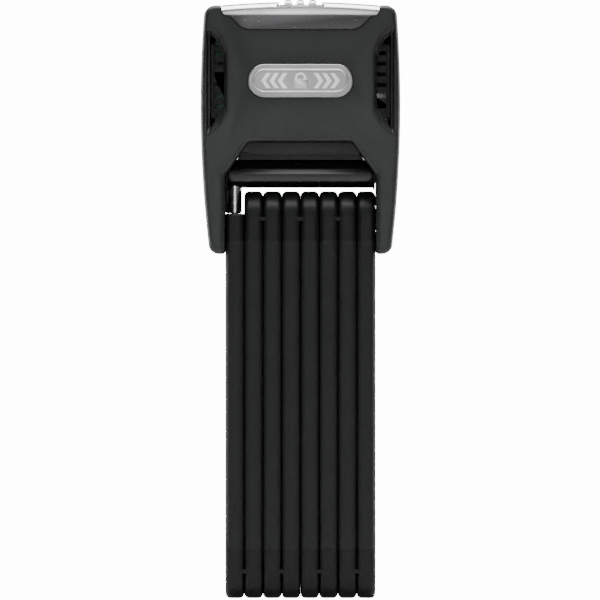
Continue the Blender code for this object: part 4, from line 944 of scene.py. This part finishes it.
def top_cap():
    """The metal cap: a crowned top that rolls over into a flap down the front."""
    front = low("top_cap")[1] - MIDDLE_Y
    rear = high("top_cap")[1] - MIDDLE_Y
    roll = CAP_ROLL
    lower = fillet([(CAP_HALF, BODY_TOP + MM, 0)] + [(-CAP_HALF, BODY_TOP + MM, 0)] + flap_corners(), 6)[2:]
    crown = [(CAP_HALF * (1 - i / 12), BODY_TOP + CROWN * (1 - (1 - i / 12) ** 2)) for i in range(1, 24)]
    outline = lower + crown
    edge = 0.6 * MM
    stations = [(front + edge * (1 - math.sin(a)), edge * (1 - math.cos(a)))
                for a in (math.pi / 2 * i / 5 for i in range(5, -1, -1))]
    stations += [(front + roll * i / 12, 0.0) for i in range(3, 13)]
    stations += [(rear - 0.3 * MM, 0.0), (rear, 0.3 * MM)]
    rings = []
    for at, taken in stations:
        short = max(0.0, roll - (at - front))
        drop = roll - math.sqrt(roll * roll - short * short)
        ring = [(x, z - drop * min(1.0, max(0.0, (z - 247.7 * MM) / (BODY_TOP - 247.7 * MM))))
                for x, z in inset(outline, taken)]
        rings.append(placed("Y", at, ring))
    cap = loft("top_cap", rings)
    under = box("under", (-40 * MM, 40 * MM), (front + 1.2 * MM, 30 * MM),
                (FLAP_BOTTOM - 2 * MM, BODY_TOP - 2.2 * MM))
    lip_x, lip_z = CHANNEL_HALF + MM, CHANNEL_FLOOR + 1.2 * MM
    above = BODY_TOP + 5 * MM
    channel = prism("channel", "Y", -30 * MM, 30 * MM,
                    [(-lip_x, CHANNEL_FLOOR), (lip_x, CHANNEL_FLOOR), (lip_x, lip_z), (CHANNEL_HALF, lip_z),
                     (CHANNEL_HALF, above), (-CHANNEL_HALF, above), (-CHANNEL_HALF, lip_z), (-lip_x, lip_z)])
    combine(cap, [under, channel, hole("Z", (BODY_TOP - 5 * MM, above), 7.2 * MM, (0.0, CORE_Y), 96)])
    crisp(cap, 0.18 * MM)
    return stand_in(cap, "lock_body", CAP_METAL, "top_cap")


def keyhole_cover():
    """The ribbed slide over the keyhole, falling away in a soft nose at both ends."""
    node = "keyhole_cover"
    front, rear = low(node)[1] - MIDDLE_Y, high(node)[1] - MIDDLE_Y
    base, top = low(node)[2] - FLOOR_Z, high(node)[2] - FLOOR_Z
    lip, half = high(node)[0], CHANNEL_HALF - 0.3 * MM
    lip_top, valley = base + 0.6 * MM, top - 2.2 * MM
    ridges = []
    for i in (1, 0, -1):
        centre = i * 5.2 * MM
        wave = [math.pi * k / 12 for k in range(13)]
        ridges += [(centre + 1.7 * MM * math.cos(a), valley + 2.2 * MM * math.sin(a) ** 0.7) for a in wave]
    section = [(-lip, base), (lip, base), (lip, lip_top), (half, lip_top), (half, valley)] + ridges \
        + [(-half, valley), (-half, lip_top), (-lip, lip_top)]
    nose = 3.4 * MM
    rings = []
    for i in range(33):
        at = front + (rear - front) * (0.5 - 0.5 * math.cos(math.pi * i / 32))
        short = max(0.0, nose - min(at - front, rear - at)) / nose
        kept = 0.12 + 0.88 * math.sqrt(max(0.0, 1 - short * short))
        rings.append(placed("Y", at, [(x, z if z <= lip_top else lip_top + (z - lip_top) * kept)
                                      for x, z in section]))
    cover = loft(node, rings)
    crisp(cover, 0.1 * MM, 2, 50)
    return stand_in(cover, "keyhole_cover", CAP_METAL, node)


def badge():
    """The oval badge: a rounded band, a bright ring, a sunk field and a raised pictogram."""
    node = "badge_plate"
    front = low(node)[1] - MIDDLE_Y
    back = high(node)[1] - MIDDLE_Y
    face = front + 0.3 * MM
    profile = [(back, 0.0)] + [(face + 0.5 * MM * (1 - math.sin(a)), 0.5 * MM * (1 - math.cos(a)))
                               for a in (math.pi / 2 * i / 5 for i in range(6))]
    field = face + 0.15 * MM
    profile += [(face, 1.9 * MM), (field, 2.0 * MM), (field, 2.9 * MM), (face, 3.0 * MM)]
    rings = [placed("Y", at, capsule(BADGE_HALF - taken, BADGE_R - taken, BADGE_Z)) for at, taken in profile]
    stand_in(loft(node, rings), "lock_body", BADGE_METAL, node)
    bead = []
    for i in range(12):
        angle = 2 * math.pi * i / 12
        taken = 2.45 * MM + 0.38 * MM * math.cos(angle)
        bead.append(placed("Y", face + 0.05 * MM + 0.30 * MM * math.sin(angle),
                           capsule(BADGE_HALF - taken, BADGE_R - taken, BADGE_Z)))
    stand_in(loft("badge_ring", bead, around=True), "lock_body", BADGE_BRIGHT, slot=node)
    pictogram(face, front)


def pictogram(face, front):
    """A generic padlock between two rows of slanted bars, standing a little proud of the badge."""
    body = fillet([(-3.1 * MM, BADGE_Z - 3.3 * MM, 0.6 * MM), (3.1 * MM, BADGE_Z - 3.3 * MM, 0.6 * MM),
                   (3.1 * MM, BADGE_Z + 0.7 * MM, 0.6 * MM), (-3.1 * MM, BADGE_Z + 0.7 * MM, 0.6 * MM)], 4)
    pieces = [rounded_slab("motif", "Y", front, face + 0.2 * MM, body, 0.12 * MM)]
    arc = [math.pi * i / 16 for i in range(17)]
    outer = [(2.3 * MM * math.cos(a), BADGE_Z + 1.4 * MM + 2.1 * MM * math.sin(a)) for a in arc]
    inner = [(1.4 * MM * math.cos(a), BADGE_Z + 1.4 * MM + 1.2 * MM * math.sin(a)) for a in reversed(arc)]
    base = BADGE_Z + 0.5 * MM
    bow = outer + [(-2.3 * MM, base), (-1.4 * MM, base)] + inner + [(1.4 * MM, base), (2.3 * MM, base)]
    pieces.append(prism("motif", "Y", front + 0.02 * MM, face + 0.2 * MM, bow))
    for side in (-1, 1):
        for i in range(3):
            x, wide, tall = 5.6 * MM + 3.5 * MM * i, 1.9 * MM, 3.2 * MM
            arrow = [(x, BADGE_Z - tall), (x + wide, BADGE_Z - tall), (x + wide + 2.2 * MM, BADGE_Z),
                     (x + wide, BADGE_Z + tall), (x, BADGE_Z + tall), (x + 2.2 * MM, BADGE_Z)]
            outline = arrow if side > 0 else [(-u, v) for u, v in reversed(arrow)]
            pieces.append(prism("motif", "Y", front + 0.02 * MM, face + 0.2 * MM, outline))
    for piece in pieces:
        stand_in(piece, "lock_body", BADGE_BRIGHT, slot="badge_plate")


def screw(node):
    """A socket-head screw with a chamfered head."""
    centre = (middle(node, 0), middle(node, 2) - FLOOR_Z)
    tip, top = low(node)[1] - MIDDLE_Y, high(node)[1] - MIDDLE_Y
    radius = (high(node)[0] - low(node)[0]) / 2
    seat = top - 1.8 * MM
    stations = [(tip, 1.0 * MM), (tip + 0.4 * MM, 1.4 * MM), (seat, 1.4 * MM), (seat, radius)]
    stations += eased((top - 0.35 * MM, radius), (top, radius - 0.35 * MM), 4)
    piece = turned(node, "Y", stations, centre, 48)
    socket = turned("socket", "Y", [(seat + 0.2 * MM, 1.1 * MM), (top - 0.2 * MM, 1.1 * MM),
                                    (top + 0.2 * MM, 1.5 * MM)], centre, 6)
    combine(piece, [socket])
    return stand_in(piece, "lock_body", DARK_STEEL, node)


# ------------------------------------------------------------------ putting it together
def dress():
    """Make every visible piece and give every hidden one its finish."""
    for number in BARS:
        bar_coating(number)
        bar_sleeve(number)
        repaint("bar_%d_steel_core" % number, STRIP_STEEL)
        if number < 8:
            rivet(number)
    locking_stud()
    swing_barrel()
    swivel_pin()
    barrel_bush("barrel_bush_left")
    barrel_bush("barrel_bush_right")
    front_shell()
    rear_shell()
    top_cap()
    badge()
    for number in range(1, 5):
        screw("housing_screw_%d" % number)
    keyhole_cover()
    seated(copied("arch_liner", LINER, 0.30 * MM))
    copied("side_insert_left", GRILLE, 0.12 * MM)
    copied("side_insert_right", GRILLE, 0.12 * MM)
    copied("battery_door", REAR, 0.20 * MM)
    copied("battery_door_screw", DARK_STEEL, 0.10 * MM)
    copied("lock_case", CAST, 0.25 * MM)
    copied("cylinder_housing", BRASS, 0.25 * MM)
    copied("cylinder_core", BRASS, 0.12 * MM, "key_cylinder")
    copied("cam_disc", GROUND_STEEL, 0.20 * MM, "key_cylinder")
    copied("bolt_slider", GROUND_STEEL, 0.20 * MM, "bolt_slider")
    copied("locking_bolt", GROUND_STEEL, 0.25 * MM, "locking_bolt")
    copied("bolt_cross_pin", GROUND_STEEL, 0.15 * MM, "locking_bolt")
    copied("battery", CELL, 0.30 * MM)
    copied("circuit_board", BOARD, 0.10 * MM)
    copied("piezo_sounder", GRILLE, 0.20 * MM)


def sheet_light(name, place, aim, size, power, tint=(1.0, 1.0, 1.0)):
    """A soft rectangular lamp aimed at a point."""
    lamp = bpy.data.lights.new(name, "AREA")
    lamp.shape = "RECTANGLE"
    lamp.size, lamp.size_y = size
    lamp.energy = power
    lamp.color = tint
    holder = bpy.data.objects.new(name, lamp)
    holder.location = place
    holder.rotation_euler = (Vector(aim) - Vector(place)).to_track_quat("-Z", "Y").to_euler()
    bpy.context.scene.collection.objects.link(holder)
    return holder


def plain_sheet(name, points, colour, glow=0.0):
    """A flat stage sheet, matt or glowing."""
    mesh = bpy.data.meshes.new(name)
    mesh.from_pydata(points, [], [tuple(range(len(points)))])
    sheet = bpy.data.objects.new(name, mesh)
    bpy.context.scene.collection.objects.link(sheet)
    paint = Finish(name + "_paint", specular=0.2)
    mist = paint.cloud(3.0)
    paint.surface(paint.mix(mist, colour, [part * 0.985 for part in colour]), 0.85 + mist * 0.05)
    if glow:
        paint.shader.inputs["Emission Color"].default_value = (1.0, 1.0, 1.0, 1.0)
        paint.shader.inputs["Emission Strength"].default_value = glow
    mesh.materials.append(paint.material)
    return sheet


def sheet_corners(near, far, low_z, high_z):
    """Four corners of a stage sheet, lying or standing."""
    return [(-STAGE_HALF, near, low_z), (STAGE_HALF, near, low_z), (STAGE_HALF, far, high_z),
            (-STAGE_HALF, far, high_z)]


def studio():
    """A pale floor, a white backdrop, soft lamps and the camera straight in front."""
    floor_z = FLOOR_Z - 0.1 * MM
    plain_sheet("pale_floor", sheet_corners(-STAGE_HALF, STAGE_BACK, floor_z, floor_z),
                (0.86, 0.86, 0.86), FLOOR_GLOW).visible_camera = False
    shown = plain_sheet("white_floor", sheet_corners(SHOWN_FROM, STAGE_BACK, floor_z, floor_z),
                        (0.9, 0.9, 0.9), WHITE_GLOW)
    backdrop = plain_sheet("white_backdrop", sheet_corners(STAGE_BACK, STAGE_BACK, floor_z, STAGE_HALF),
                           (0.9, 0.9, 0.9), WHITE_GLOW)
    for sheet in (shown, backdrop):
        sheet.visible_diffuse = False
        sheet.visible_glossy = False
    world = bpy.data.worlds.new("room")
    bpy.context.scene.world = world
    world.use_nodes = True
    air = Paint(world.node_tree)
    back = world.node_tree.nodes["Background"]
    up = air.node("ShaderNodeSeparateXYZ", {}, air.node("ShaderNodeTexCoord", {}, out=0), out=2)
    air.feed(back.inputs["Color"], air.mix(up.ramp(0.2, 0.9), (0.06, 0.062, 0.065), (0.9, 0.9, 0.9)))
    back.inputs["Strength"].default_value = ROOM_LIGHT
    sheet_light("overhead", (0.0, -0.10, 0.90), (0, 0, 0), (1.1, 0.8), 26)
    sheet_light("front_bank", (0.0, -2.4, 0.70), (0, 0, -0.05), (0.5, 1.2), 4)
    sheet_light("front_low", (0.0, -2.6, -0.05), (0, 0, -0.10), (0.8, 0.8), 4.5)
    sheet_light("left_bank", (-1.0, 0.15, 0.05), (0, 0, -0.05), (0.30, 0.9), 16)
    sheet_light("right_bank", (1.0, 0.15, 0.05), (0, 0, -0.05), (0.30, 0.9), 12)
    camera_data = bpy.data.cameras.new("camera")
    camera_data.lens = camera_data.sensor_width * CAMERA_DISTANCE / PICTURE_WIDTH
    camera = bpy.data.objects.new("camera", camera_data)
    camera.location = (PICTURE_X - CAMERA_ASIDE, SHELL_FRONT_Y - CAMERA_DISTANCE, PICTURE_Z)
    camera.rotation_euler = (math.radians(90), 0, -math.atan(CAMERA_ASIDE / CAMERA_DISTANCE))
    bpy.context.scene.collection.objects.link(camera)
    bpy.context.scene.camera = camera


BOARD = board_green()
CELL = cell_sleeve()
STAGE_HALF = 3.0
STAGE_BACK = 2.0
SHOWN_FROM = -1.2
FLOOR_GLOW = 0.12
WHITE_GLOW = 14.0           # bright enough to come out white
ROOM_LIGHT = 0.30
CAMERA_DISTANCE = 2.5
CAMERA_ASIDE = 0.0016       # off the plane between the two middle bars, so no light shows through
PICTURE_WIDTH = 0.2548
PICTURE_X = -0.0002
PICTURE_Z = -0.0925
SHELL_FRONT_Y = low("front_shell")[1]

dress()
studio()
